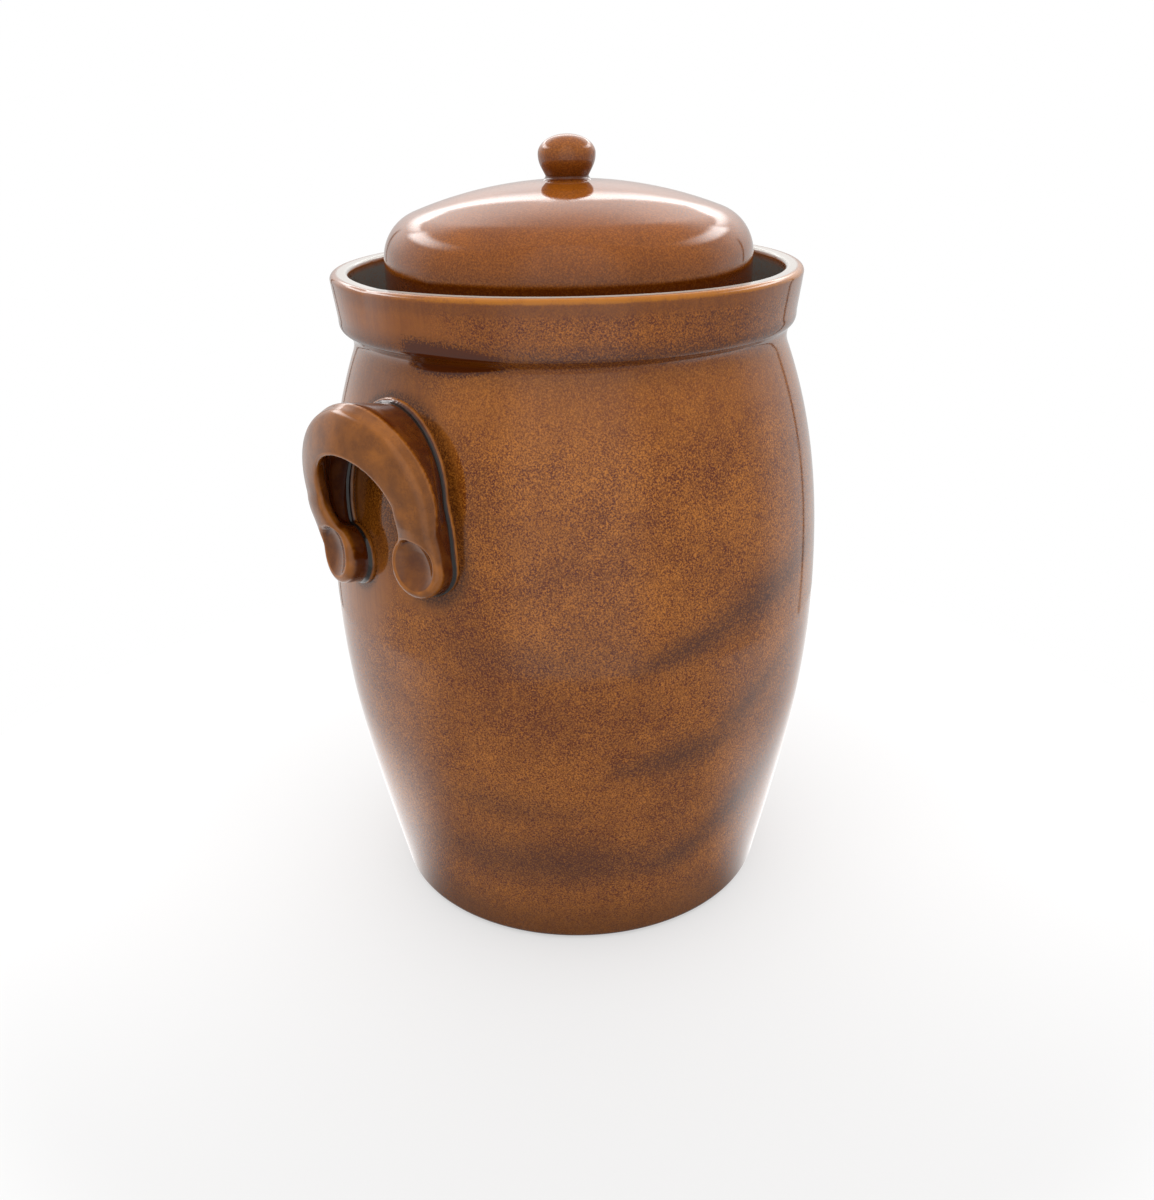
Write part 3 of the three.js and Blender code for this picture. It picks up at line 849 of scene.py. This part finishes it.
def rim_profile(rim, barrel):
    """Channel wall with a flat lip and a full face that turns under to a fillet on the neck."""
    base, top = RING_BOX[0].z, RING_BOX[1].z
    outer = RING_BOX[1].y
    low = barrel.neck_height - rim.fillet
    neck = np.array((wall_radius(barrel, low), low))
    up_neck = np.array((wall_radius(barrel, low + 1 * MM) - neck[0], 1 * MM))
    up_neck /= np.linalg.norm(up_neck)
    face = np.array((rim.foot_radius, base + rim.face_low))
    turn = face - (rim.heel_in, rim.heel)
    under = np.array((0.8, 0.6))
    lip_outer = (outer - rim.lip, top - rim.lip)
    lip_inner = (rim.inner_radius + rim.lip_inner, top - 1.5 * rim.lip_inner)
    bed = rim.inner_radius - 1.0 * MM
    return joined(
        neck - 1.5 * MM * up_neck - (0.3 * MM, 0),
        bezier(neck, neck + 0.9 * rim.fillet * up_neck, turn - 0.75 * rim.fillet * under, turn, 20),
        bezier(turn, turn + 0.4 * rim.heel * under, face - (0, 0.4 * rim.heel), face, 14)[1:],
        straight(face, (outer, lip_outer[1]), 14),
        arc(lip_outer, rim.lip, 0, math.pi / 2, 12),
        straight((lip_outer[0], top), (lip_inner[0], top), 8),
        arc(lip_inner, rim.lip_inner, math.pi / 2, math.pi, 12, 1.5 * rim.lip_inner),
        straight((rim.inner_radius, lip_inner[1]), (rim.inner_radius, base), 8),
        (bed, base - 1.5 * MM),
        (bed, low - 1.5 * MM),
    )


def hand_finish(points, rim, low, high):
    """Sways the lip a little and dents it beside the left handle, fading out below."""
    turn = np.arctan2(points[:, 1], points[:, 0])
    grown = smoothstep(low, high, points[:, 2])
    away = (turn - rim.kink_angle + math.pi) % (2 * math.pi) - math.pi
    dent = np.exp(-np.abs(away / rim.kink_width) ** 1.3)
    across = rim.oval * np.cos(2 * (turn - rim.set_angle)) - rim.kink_depth * dent
    rise = rim.wave * (np.sin(2 * turn + 0.6) + 0.5 * np.sin(3 * turn + 2.1)) - 0.6 * rim.kink_depth * dent
    out = points[:, :2] / np.linalg.norm(points[:, :2], axis=1)[:, None]
    aside = rim.set_aside * np.array((math.cos(rim.set_angle), math.sin(rim.set_angle)))
    moved = points.copy()
    moved[:, :2] += out * (grown * across)[:, None]
    moved[:, :2] += aside * smoothstep(low - 8 * MM, low, points[:, 2])[:, None]
    moved[:, 2] += grown * rise
    return moved


class CROCK_OT_rim(Operator):
    """Build the flared rim that is the outer wall of the water channel"""

    bl_idname = "crock.rim"
    bl_label = "Rim"

    def execute(self, context):
        rim, barrel = context.scene.crock_rim, context.scene.crock_barrel
        mesh = lathe("rim", rim_profile(rim, barrel), SEGMENTS)
        points = points_of(mesh)
        base, top, outer = RING_BOX[0].z, RING_BOX[1].z, RING_BOX[1].y
        lip_start = rim.inner_radius + rim.lip_inner
        x, y, height = points.T
        radius = np.hypot(x, y)
        turn = np.degrees(np.arctan2(y, x)) % 360
        within = (radius < lip_start) * fade(top - 5 * MM, top - 2 * MM, height)
        patch_height = (11.5 - 6 * smoothstep(192, 214, turn)) * MM
        patch = fade(0.35, 1.05, np.abs(height - base + 2.2 * MM) / patch_height)
        # Painted shade: the crease under the rim and the rim's front-right are darkened with the pool
        # colour; the outer face is also darker towards the lip.
        crease = window(base - 6 * MM, base - 3 * MM, base, base + 9 * MM, height)
        under_lip = smoothstep(top - 10 * MM, top - 5 * MM, height)
        shade = window(232, 262, 300, 330, turn) * smoothstep(base, base + 6 * MM, height)
        pooled = np.maximum.reduce((0.8 * crease, 0.35 * under_lip, 0.35 * shade))
        corner = smoothstep(outer - rim.lip - 1.4 * MM, outer - rim.lip, radius)
        golden = 0.35 + 0.65 * window(176, 206, 290, 320, turn)
        # Painted highlight: the pale painted reflection is strongest along the lip's inner edge.
        inner_edge_glint = 0.85 + 0.15 * fade(lip_start, lip_start + 0.8 * MM, radius)
        neck = fade(base - 11 * MM, base - 5 * MM, height)
        wiped = window(140, 160, 188, 208, turn) * (1 - neck)
        calm = calm_mask(points, distance_to_handles(context.scene, points))
        write_masks(
            mesh,
            inside=within * smoothstep(base, base + 2 * MM, height),
            patch=patch * window(180, 189, 202, 222, turn),
            pooled=pooled * (radius > lip_start + 1 * MM),
            band=corner * golden * smoothstep(top - 3.2 * MM, top - 1.4 * MM, height),
            pale=(1 - corner) * inner_edge_glint * smoothstep(top - 1.6 * MM, top - 0.5 * MM, height),
            neck=neck,
            stain=neck * streak_mask(points, barrel),
            calm=np.maximum.reduce((calm, 0.85 * wiped, 0.7 * under_lip)),
        )
        set_points(mesh, hand_finish(points, rim, base, top))
        add_piece("rim", mesh, finished(rim_glaze), "crock", "rim_glaze", "gutter_ring")
        return {"FINISHED"}


class CROCK_OT_collar(Operator):
    """Build the channel's bed with the collar round the mouth"""

    bl_idname = "crock.collar"
    bl_label = "Mouth collar"

    def execute(self, context):
        rim = context.scene.crock_rim
        under, top = COLLAR_BOX[0].z, COLLAR_BOX[1].z
        bed = RING_BOX[0].z - 0.3 * MM
        crown = rim.collar_wall / 2
        outer = rim.mouth_radius + rim.collar_wall
        fillet = (outer + rim.channel_fillet, bed + rim.channel_fillet)
        profile = joined(
            straight((rim.mouth_radius, under), (rim.inner_radius, under), 16),
            straight((rim.inner_radius, bed), (fillet[0], bed), 12),
            arc(fillet, rim.channel_fillet, -math.pi / 2, -math.pi, 10),
            straight((outer, fillet[1]), (outer, top - crown), 10),
            arc((rim.mouth_radius + crown, top - crown), crown, 0, math.pi, 20),
            straight((rim.mouth_radius, top - crown), (rim.mouth_radius, under), 14),
        )
        mesh = lathe("channel_collar", profile, 256)
        write_edges(mesh, 1)
        add_piece(
            "channel_collar", mesh, finished(channel_glaze), "crock", "channel_glaze", "mouth_collar"
        )
        return {"FINISHED"}


# Handles

def strap_path(size):
    """Root of the strap in handle space, and the direction that points out of the arch."""
    leg = bezier(
        (size.pad_spread, 0), (size.pad_spread + size.pad_lean, size.leg / 3),
        (size.arch_half_width, size.leg / 2), (size.arch_half_width, size.leg), 24,
    )
    arch = arc((0, size.leg), size.arch_half_width, 0, math.pi, 72, size.arch_rise)
    path = joined(leg, arch, (leg * (-1, 1))[::-1])
    along = np.gradient(path, axis=0)
    along /= np.linalg.norm(along, axis=1)[:, None]
    return path, np.column_stack((along[:, 1], -along[:, 0]))


def strap_sections(size, path):
    """Corners of the strap's section at each place on the path: across the strap and off the wall."""
    crown = np.maximum(0, (path[:, 1] - size.leg) / size.arch_rise)
    reach = size.leg_reach + (1 - size.leg_reach) * smoothstep(0, size.leg, path[:, 1])

    def between(waist, top):
        return waist + (top - waist) * crown

    half = between(size.waist_wall, size.crown_wall) / 2
    splay = size.leg_flare * fade(0, size.leg, path[:, 1])
    outer = half + splay
    ridge = between(size.waist_ridge, size.crown_ridge) * reach
    face = between(size.waist_face, size.crown_face) * reach
    lip_x = -between(size.waist_inturn, size.crown_inturn)
    ridge_x = half + np.maximum(size.ridge_flare, splay)
    lip = face - size.lip_fall
    root = np.full(len(path), -0.8 * MM)
    bead = np.full(len(path), size.root_bead)
    corners = (
        (outer + bead * 0.6, root),
        (outer + bead, bead * 0.9),
        (outer - bead * 0.2, bead * 2.2),
        (ridge_x, ridge - size.ridge_round),
        (ridge_x - size.ridge_round / 4, ridge),
        (ridge_x - size.ridge_round, ridge + 0.75 * (face - ridge)),
        (ridge_x + 0.6 * (lip_x - ridge_x), face),
        (lip_x + size.lip_fall, lip + size.lip_fall / 3),
        (lip_x, lip - size.lip_fall),
        (lip_x + size.lip_fall, lip - size.lip_wall),
        (-half - size.lip_fall, 0.55 * lip),
        (-half + bead * 0.2, bead * 2.2),
        (-half - bead, bead * 0.9),
        (-half - bead * 0.6, root),
    )
    return np.stack([np.column_stack(corner) for corner in corners], axis=1)


def strap_mesh(size):
    path, outward = strap_path(size)
    loops = rounded_loop(strap_sections(size, path), 5)
    count = loops.shape[1]
    flat = path[:, None, :] + outward[:, None, :] * loops[:, :, :1]
    points = np.concatenate((flat, loops[:, :, 1:]), axis=2).reshape(-1, 3)
    faces = [face[::-1] for face in grid_faces(len(path), count)]
    last = (len(path) - 1) * count
    faces.append(tuple(range(count)))
    faces.append(tuple(last + i for i in reversed(range(count))))
    return points, faces


def pad_mesh(size, side):
    """A boss at the end of a leg, leaning up, for the thumb to be pressed into."""
    edge = (size.pad_radius - size.pad_edge, size.pad_depth - size.pad_edge)
    bead = size.root_bead
    foot = size.pad_radius - size.pad_edge / 2
    profile = joined(
        (0, -0.8 * MM),
        (foot + bead * 0.6, -0.8 * MM),
        (foot + bead, bead * 0.9),
        (foot - bead * 0.2, bead * 2.2),
        arc(edge, size.pad_edge, 0, math.pi / 2, 8),
        straight((edge[0], size.pad_depth), (0, size.pad_depth), 4),
    )
    mesh = lathe("pad", profile, 64)
    points = points_of(mesh)
    faces = [tuple(face.vertices) for face in mesh.polygons]
    bpy.data.meshes.remove(mesh)
    share_up = np.clip(points[:, 2] / size.pad_depth, 0, 1)
    points[:, 0] = points[:, 0] * (1 - size.pad_taper * share_up) + side * size.pad_spread
    points[:, 1] += size.pad_rise * share_up
    return points, faces


def press_thumbs(points, size):
    """Presses a hollow into the clay over each pad."""
    for side in (1, -1):
        across = (points[:, 0] - side * size.pad_spread) / size.thumb_width
        up = (points[:, 1] - size.pad_rise) / size.thumb_height
        inside = np.clip(1 - across**2 - up**2, 0, 1)
        bowl = size.pad_depth - size.thumb_depth * inside**0.8
        pressed = (inside > 0) & (points[:, 2] > bowl)
        points[pressed, 2] = bowl[pressed]


def wrap_on_wall(points, size, barrel, tilt, lean):
    """Lays handle space on the +X side of the barrel: across, up and away from the wall."""
    middle_height = barrel.neck_height - size.drop
    middle = wall_radius(barrel, middle_height)
    out = points[:, 2]
    across = points[:, 0] + lean * out
    up = points[:, 1] - size.leg
    around = (across * math.cos(tilt) - up * math.sin(tilt)) / middle
    height = middle_height + across * math.sin(tilt) + up * math.cos(tilt)
    radius = wall_radius(barrel, height) + out
    return np.column_stack((radius * np.cos(around), radius * np.sin(around), height))


def handle_clay(size):
    """Strap and pads in handle space as one lump of points and faces, still overlapping."""
    points, faces = [], []
    for lump, sides in (strap_mesh(size), pad_mesh(size, 1), pad_mesh(size, -1)):
        start = sum(len(p) for p in points)
        points.append(lump)
        faces.extend(tuple(start + i for i in side) for side in sides)
    return np.vstack(points), faces


def relaxed(mesh, points, passes, softness=1.0):
    """The points drawn towards their neighbours, as wet clay softens under a sponge."""
    a, b, around = neighbours(mesh)
    pull = np.broadcast_to(softness, len(points))[:, None] / 2
    for _ in range(passes):
        nearby = np.column_stack([gathered(a, b, axis[b], axis[a], around) for axis in points.T])
        points = points + pull * (nearby - points)
    return points


def pad_softness(points, size):
    """1 over the pads and the ends of the legs, 0 on the arch and along the root."""
    away = np.hypot(np.abs(points[:, 0]) - size.pad_spread, points[:, 1] - size.pad_rise)
    near = fade(1.2 * size.pad_radius, 2.2 * size.pad_radius, away)
    return near * smoothstep(2 * MM, 5 * MM, points[:, 2])


def blended(name, size):
    """Strap and pads as one skin in handle space, with the thumb hollows pressed in."""
    rough = bpy.data.objects.new(name, new_mesh(name, *handle_clay(size)))
    bpy.context.scene.collection.objects.link(rough)
    remesh = rough.modifiers.new("Blend", "REMESH")
    remesh.mode = "VOXEL"
    remesh.voxel_size = size.voxel
    graph = bpy.context.evaluated_depsgraph_get()
    mesh = bpy.data.meshes.new_from_object(rough.evaluated_get(graph))
    bpy.data.objects.remove(rough)
    points = relaxed(mesh, points_of(mesh), size.smooth_passes)
    points = relaxed(mesh, points, size.blend_passes, pad_softness(points, size))
    press_thumbs(points, size)
    set_points(mesh, relaxed(mesh, points, size.smooth_passes))
    return mesh


def handle_places(size):
    """Name, CAD node, tilt, lean and side of each handle."""
    return (
        ("left_handle", "handle_left", size.left_tilt, size.left_lean, -1),
        ("right_handle", "handle_right", 0.0, 0.0, 1),
    )


def distance_to_handles(scene, points):
    """How far each point is from the nearest handle's root."""
    size, barrel = scene.crock_handle, scene.crock_barrel
    roots = []
    for _, _, tilt, lean, side in handle_places(size):
        clay = wrap_on_wall(handle_clay(size)[0], size, barrel, tilt, lean)
        radius = np.hypot(clay[:, 0], clay[:, 1])
        root = clay[radius < wall_radius(barrel, clay[:, 2]) + 3 * MM]
        roots.append(root * (side, side, 1))
    roots = np.vstack(roots)
    tree = KDTree(len(roots))
    for i, place in enumerate(roots):
        tree.insert(place, i)
    tree.balance()
    return np.array([tree.find(point)[2] for point in points])


class CROCK_OT_handles(Operator):
    """Build the two horseshoe handles with their turned-in lips and thumb pads"""

    bl_idname = "crock.handles"
    bl_label = "Handles"

    def execute(self, context):
        size, barrel = context.scene.crock_handle, context.scene.crock_barrel
        for name, node, tilt, lean, side in handle_places(size):
            mesh = blended(name, size)
            (across, up, out), facing = points_of(mesh).T, points_of(mesh, "normal")[:, 2]
            hollow = np.hypot(np.abs(across) - size.pad_spread, up - size.pad_rise)
            # Darker pool colour where glaze runs at the legs' ends and in the thumb hollows, painted shade
            # near the wall and on the sides turned away from the front, and a painted reflection of the
            # dark wall on the flanks.
            pooled = (
                0.92 * fade(5 * MM, 10 * MM, out), 0.4 * fade(4 * MM, 16 * MM, up),
                0.65 * fade(2 * MM, 9 * MM, hollow), 0.85 * fade(0.1, 0.5, facing),
            )
            # Painted shade: the groove between the root bead and the strap is painted near black.
            seam = window(1.2 * MM, 2 * MM, 2.8 * MM, 3.8 * MM, out)
            write_masks(mesh, pooled=np.maximum.reduce(pooled), seam=seam)
            set_points(mesh, wrap_on_wall(points_of(mesh), size, barrel, tilt, lean) * (side, side, 1))
            write_edges(mesh, 3)
            add_piece(name, mesh, finished(handle_glaze), "crock", "handle_glaze", node)
        return {"FINISHED"}


# Lid and knob

def lid_arcs(size, inset):
    """Shoulder and dome of the lid's outside, or of its inside when inset by the wall."""
    shoulder_x = size.radius - size.shoulder
    reach = size.dome_radius - size.shoulder
    dome_z = LID_BOX[1].z - size.dome_radius
    shoulder_z = dome_z + math.sqrt(reach * reach - shoulder_x * shoulder_x)
    joint = math.atan2(shoulder_z - dome_z, shoulder_x)
    return joined(
        arc((shoulder_x, shoulder_z), size.shoulder - inset, 0, joint, 24),
        arc((0, dome_z), size.dome_radius - inset, joint, math.pi / 2, 44),
    )


class CROCK_OT_lid(Operator):
    """Build the domed lid with the gas vents in its lower edge"""

    bl_idname = "crock.lid"
    bl_label = "Lid"

    def execute(self, context):
        size = context.scene.crock_lid
        bottom = LID_BOX[0].z
        inner = size.radius - size.wall
        edge_z = bottom + size.edge
        outside, inside = lid_arcs(size, 0), lid_arcs(size, size.wall)[::-1]
        profile = joined(
            inside,
            straight(inside[-1], (inner, edge_z), 14),
            arc((inner + size.edge, edge_z), size.edge, math.pi, 1.5 * math.pi, 8),
            arc((size.radius - size.edge, edge_z), size.edge, -math.pi / 2, 0, 8),
            straight((size.radius, edge_z), outside[0], 14),
            outside,
        )
        mesh = lathe("domed_lid", profile, SEGMENTS)
        points = points_of(mesh)
        x, y, z = points.T
        notch = np.sqrt(np.maximum(size.vent**2 - x**2, 0))
        lift = notch * np.clip(1 - (z - bottom) / (3 * size.vent), 0, 1)
        z += np.where(np.abs(y) > inner / 2, lift, 0)
        set_points(mesh, points)
        turn = np.arctan2(y, x)
        # Painted shade and reflection: the skirt below a wavy line near the rim's top is painted dark.
        dip = bottom + size.dip + (0.5 * np.sin(3 * turn + 1) + 0.3 * np.sin(8 * turn)) * MM
        write_masks(mesh, pooled=0.85 * fade(dip - 0.5 * MM, dip + 0.5 * MM, z))
        write_edges(mesh, 1)
        add_piece("domed_lid", mesh, finished(lid_glaze), "lid", "lid_glaze", "lid")
        return {"FINISHED"}


class CROCK_OT_knob(Operator):
    """Build the knob on the lid"""

    bl_idname = "crock.knob"
    bl_label = "Knob"

    def execute(self, context):
        size = context.scene.crock_lid
        top = KNOB_BOX[1].z
        base = LID_BOX[1].z
        foot = base - size.dome_radius + math.sqrt(size.dome_radius**2 - size.knob_foot**2)
        widest = top - size.knob_crown
        waist = np.array((size.knob_neck, base + size.knob_foot_height))
        flare = bezier(
            (size.knob_foot + 1.2 * MM, foot - 0.4 * MM), (size.knob_foot - 0.4 * MM, foot + 0.2 * MM),
            waist - (0, 1.0 * MM), waist, 8,
        )
        taper = bezier(
            waist, waist + (size.knob_foot_height, 2 * size.knob_foot_height),
            (size.knob_radius, widest - size.knob_crown / 2), (size.knob_radius, widest), 20,
        )
        profile = joined(
            (0, foot - 0.4 * MM), flare, taper,
            arc((0, widest), size.knob_radius, 0, math.pi / 2, 24, size.knob_crown),
        )
        mesh = lathe("knob", profile, 128)
        # Painted shade: the knob darkens below its widest point.
        write_masks(mesh, pooled=0.55 * fade(base, widest + 2 * MM, points_of(mesh)[:, 2]))
        write_edges(mesh, 1)
        add_piece("knob", mesh, finished(lid_glaze), "lid", "lid_glaze", "lid_knob")
        return {"FINISHED"}


# Weight stones

def stone_curve(size):
    """Half disc with rounded corners and a finger hole, as a flat curve with rounded edges."""
    flat = size.radius - size.edge
    corner_x = size.split / 2 + size.edge + size.corner
    corner_y = math.sqrt((flat - size.corner) ** 2 - corner_x**2)
    swing = math.atan2(corner_y, corner_x)
    outline = joined(
        arc((corner_x, -corner_y), size.corner, -math.pi, -swing, 16),
        arc((0, 0), flat, -swing, swing, 96),
        arc((corner_x, corner_y), size.corner, swing, math.pi, 16),
    )
    hole = arc((size.hole_reach, 0), size.hole + size.edge, 2 * math.pi, 0, 48)[:-1]
    curve = bpy.data.curves.new("stone", "CURVE")
    curve.dimensions = "2D"
    curve.fill_mode = "BOTH"
    curve.extrude = (STONE_BOX[1].z - STONE_BOX[0].z) / 2 - size.edge
    curve.bevel_depth = size.edge
    curve.bevel_resolution = 6
    for line in (outline, hole):
        spline = curve.splines.new("POLY")
        spline.points.add(len(line) - 1)
        spline.use_cyclic_u = True
        for point, (x, y) in zip(spline.points, line):
            point.co = (x, y, 0, 1)
    return curve


class CROCK_OT_stones(Operator):
    """Build the two half-moon weight stones"""

    bl_idname = "crock.stones"
    bl_label = "Weight stones"

    def execute(self, context):
        size = context.scene.crock_stone
        middle = (STONE_BOX[0].z + STONE_BOX[1].z) / 2
        for name, node, body, turn in (
            ("left_stone", "weight_stone_left", "stone_left", math.pi),
            ("right_stone", "weight_stone_right", "stone_right", 0.0),
        ):
            flat = bpy.data.objects.new(name, stone_curve(size))
            mesh = bpy.data.meshes.new_from_object(flat)
            bpy.data.objects.remove(flat)
            mesh.transform(Matrix.Translation((0, 0, middle)) @ Matrix.Rotation(turn, 4, "Z"))
            add_piece(name, mesh, finished(bare_stoneware), body, "bare_stoneware", node)
        return {"FINISHED"}


# Studio

def bearings(studio):
    """Level directions to the right of the crock and behind it, as the camera sees it."""
    sine, cosine = math.sin(studio.azimuth), math.cos(studio.azimuth)
    return Vector((cosine, sine, 0)), Vector((-sine, cosine, 0))


def floor_material(studio):
    """Pale floor that keeps the shadow, lighter towards the back and white at its edge."""
    material, wires = new_material("Pale Floor")
    plain = wires.add("ShaderNodeBsdfDiffuse", {"Color": Color((studio.floor_tone,) * 3)})
    path = wires.add("ShaderNodeLightPath", {}).outputs
    place = wires.place()
    depth = wires.along(place, bearings(studio)[1])
    distance = wires.add("ShaderNodeVectorMath", {0: place}, operation="LENGTH").outputs["Value"]
    behind = wires.ramp(wires.math("DIVIDE", depth, distance), -0.7, -0.2)
    close = wires.ramp(distance, 0.13, 0.26, 2.4, 1.0)
    mirrored = wires.times(wires.times(path["Is Glossy Ray"], behind), close)
    shaded = wires.ramp(depth, -0.3, 0.0, 0.78, 1.04)
    edged = wires.ramp(distance, 0.3, 0.42, shaded, 1.1)
    seen = wires.larger(wires.times(path["Is Camera Ray"], edged), mirrored)
    glow = wires.add("ShaderNodeEmission", {"Strength": wires.times(seen, studio.floor_glow)})
    both = wires.add("ShaderNodeAddShader", {0: plain.outputs[0], 1: glow.outputs[0]})
    wires.add("ShaderNodeOutputMaterial", {"Surface": both.outputs[0]})
    return material


def make_floor(studio):
    under = straight((0, -1 * MM), (studio.floor_radius, -1 * MM), 4)
    above = straight((studio.floor_radius, 0), (0, 0), 4)
    mesh = lathe("floor", joined(under, above), 96)
    mesh.materials.append(floor_material(studio))
    floor = bpy.data.objects.new("floor", mesh)
    bpy.context.scene.collection.objects.link(floor)


# Bearings of the tent's dark seams, in degrees left of the crock's back
SEAMS = (27, -46)


def tent_light(wires, studio, towards):
    """Brightness of the light tent by direction, with a strip lamp at the back and two side lamps."""
    right, back = bearings(studio)
    deep = wires.along(towards, back)
    bearing = wires.math("ARCTAN2", wires.along(towards, -right), deep)
    turn = wires.math("ABSOLUTE", bearing)
    rise = wires.math("ARCSINE", wires.along(towards, (0, 0, 1)))
    backdrop = wires.sweep(turn, 16, 42, 0.74, 0.95)
    sides = wires.sweep(turn, 68, 95, backdrop, 0.56)
    walls = wires.plus(sides, wires.sweep(turn, 138, 162, 0.0, 0.3))
    ceiling = wires.times(wires.sweep(rise, 36, 52), wires.ramp(deep, -0.34, -0.26))
    tent = wires.ramp(ceiling, 0.0, 1.0, walls, 0.68)
    glow = wires.times(wires.sweep(rise, 0, 22, 0.0, 0.85), wires.sweep(rise, 33, 50, 1.0, 0.0))
    tent = wires.plus(tent, wires.times(glow, wires.sweep(turn, 20, 75, 1.0, 0.0)))
    arch = wires.minus(math.radians(30), wires.times(wires.math("POWER", turn, 2.0), 3.7))
    wing = wires.plus(wires.times(turn, 0.42), math.radians(13.5))
    above = wires.minus(rise, wires.larger(arch, wing))
    strip = wires.times(wires.sweep(above, 0.5, 2, 1.0, 0.0), wires.sweep(turn, 32, 50, 1.0, 0.0))
    strip = wires.times(wires.sweep(above, -8, -0.5, 0.0, studio.strip), strip)
    wall_top = wires.plus(wires.times(turn, 0.24), math.radians(18))
    off_top = wires.math("ABSOLUTE", wires.minus(rise, wall_top))
    fading = wires.math("POWER", wires.sweep(turn, 52, 112, 1.0, 0.0), 2.0)
    along_wall = wires.times(wires.sweep(turn, 34, 44), fading)
    lamps = wires.times(wires.times(along_wall, studio.lamps), wires.sweep(off_top, 2, 8, 1.0, 0.0))
    lit = wires.plus(tent, wires.larger(strip, lamps))
    low = wires.sweep(rise, 8, 16, 1.0, 0.0)
    for seam in SEAMS:
        off_seam = wires.math("ABSOLUTE", wires.minus(bearing, math.radians(seam)))
        dark = wires.sweep(off_seam, 0.5, 1.8, 0.9, 0.0)
        lit = wires.times(lit, wires.minus(1.0, wires.times(dark, low)))
    return lit


def make_world(studio):
    """A light tent: flat white to the camera, its panels and lamps in reflections, soft light all round."""
    world = bpy.data.worlds.new("Light Tent")
    world.use_nodes = True
    world.node_tree.nodes.clear()
    wires = Wiring(world.node_tree)
    path = wires.add("ShaderNodeLightPath", {}).outputs
    towards = wires.add("ShaderNodeTexCoord", {}).outputs["Generated"]
    sky = wires.ramp(wires.along(towards, (0, 0, 1)), 0.0, 1.0, studio.sky_low, studio.sky_high)
    mirrored = wires.larger(path["Is Glossy Ray"], path["Is Transmission Ray"])
    unseen = wires.ramp(mirrored, 0.0, 1.0, sky, tent_light(wires, studio, towards))
    strength = wires.ramp(path["Is Camera Ray"], 0.0, 1.0, unseen, 1.0)
    tent = wires.add("ShaderNodeBackground", {"Color": WHITE, "Strength": strength})
    wires.add("ShaderNodeOutputWorld", {"Surface": tent.outputs[0]})
    bpy.context.scene.world = world


def make_camera(studio):
    """Camera at the crock's three-quarter view, slightly rolled."""
    side, level = bearings(studio)
    forward = level * math.cos(studio.pitch) - Vector((0, 0, math.sin(studio.pitch)))
    up = side.cross(forward)
    right = side * math.cos(studio.roll) + up * math.sin(studio.roll)
    top = up * math.cos(studio.roll) - side * math.sin(studio.roll)
    data = bpy.data.cameras.new("camera")
    data.lens = studio.lens
    data.sensor_width = 36.0
    data.shift_x = studio.shift
    camera = bpy.data.objects.new("camera", data)
    place = level * -studio.distance + Vector((0, 0, studio.height))
    turn = Matrix((right, top, -forward)).transposed().to_4x4()
    camera.matrix_world = Matrix.Translation(place) @ turn
    bpy.context.scene.collection.objects.link(camera)
    bpy.context.scene.camera = camera


class CROCK_OT_studio(Operator):
    """Set up the floor, the soft light and the camera"""

    bl_idname = "crock.studio"
    bl_label = "Studio"

    def execute(self, context):
        studio = context.scene.crock_studio
        context.scene.view_settings.view_transform = "Standard"
        make_camera(studio)
        make_floor(studio)
        make_world(studio)
        return {"FINISHED"}


# Panel and registration

OPERATORS = (
    CROCK_OT_studio, CROCK_OT_barrel, CROCK_OT_rim, CROCK_OT_collar,
    CROCK_OT_handles, CROCK_OT_lid, CROCK_OT_knob, CROCK_OT_stones,
)
SETTINGS = {
    "crock_barrel": BarrelSizes,
    "crock_rim": RimSizes,
    "crock_lid": LidSizes,
    "crock_handle": HandleSizes,
    "crock_stone": StoneSizes,
    "crock_glaze": GlazeLook,
    "crock_studio": StudioSetup,
}


class CROCK_PT_panel(Panel):
    """Lists the crock's pieces"""

    bl_idname = "CROCK_PT_panel"
    bl_label = "Stoneware Crock"
    bl_space_type = "VIEW_3D"
    bl_region_type = "UI"
    bl_category = "Crock"

    def draw(self, context):
        for operator in OPERATORS:
            self.layout.operator(operator.bl_idname)
        for name, group in SETTINGS.items():
            box = self.layout.box()
            box.label(text=group.__doc__)
            for field in group.__annotations__:
                box.prop(getattr(context.scene, name), field)


CLASSES = (*SETTINGS.values(), *OPERATORS, CROCK_PT_panel)


def register():
    for cls in CLASSES:
        bpy.utils.register_class(cls)
    for name, group in SETTINGS.items():
        setattr(bpy.types.Scene, name, PointerProperty(type=group))


def unregister():
    for name in SETTINGS:
        delattr(bpy.types.Scene, name)
    for cls in reversed(CLASSES):
        bpy.utils.unregister_class(cls)


def main():
    register()
    bpy.ops.crock.studio()
    bpy.ops.crock.barrel()
    bpy.ops.crock.rim()
    bpy.ops.crock.collar()
    bpy.ops.crock.handles()
    bpy.ops.crock.lid()
    bpy.ops.crock.knob()
    bpy.ops.crock.stones()


if __name__ == "__main__":
    main()
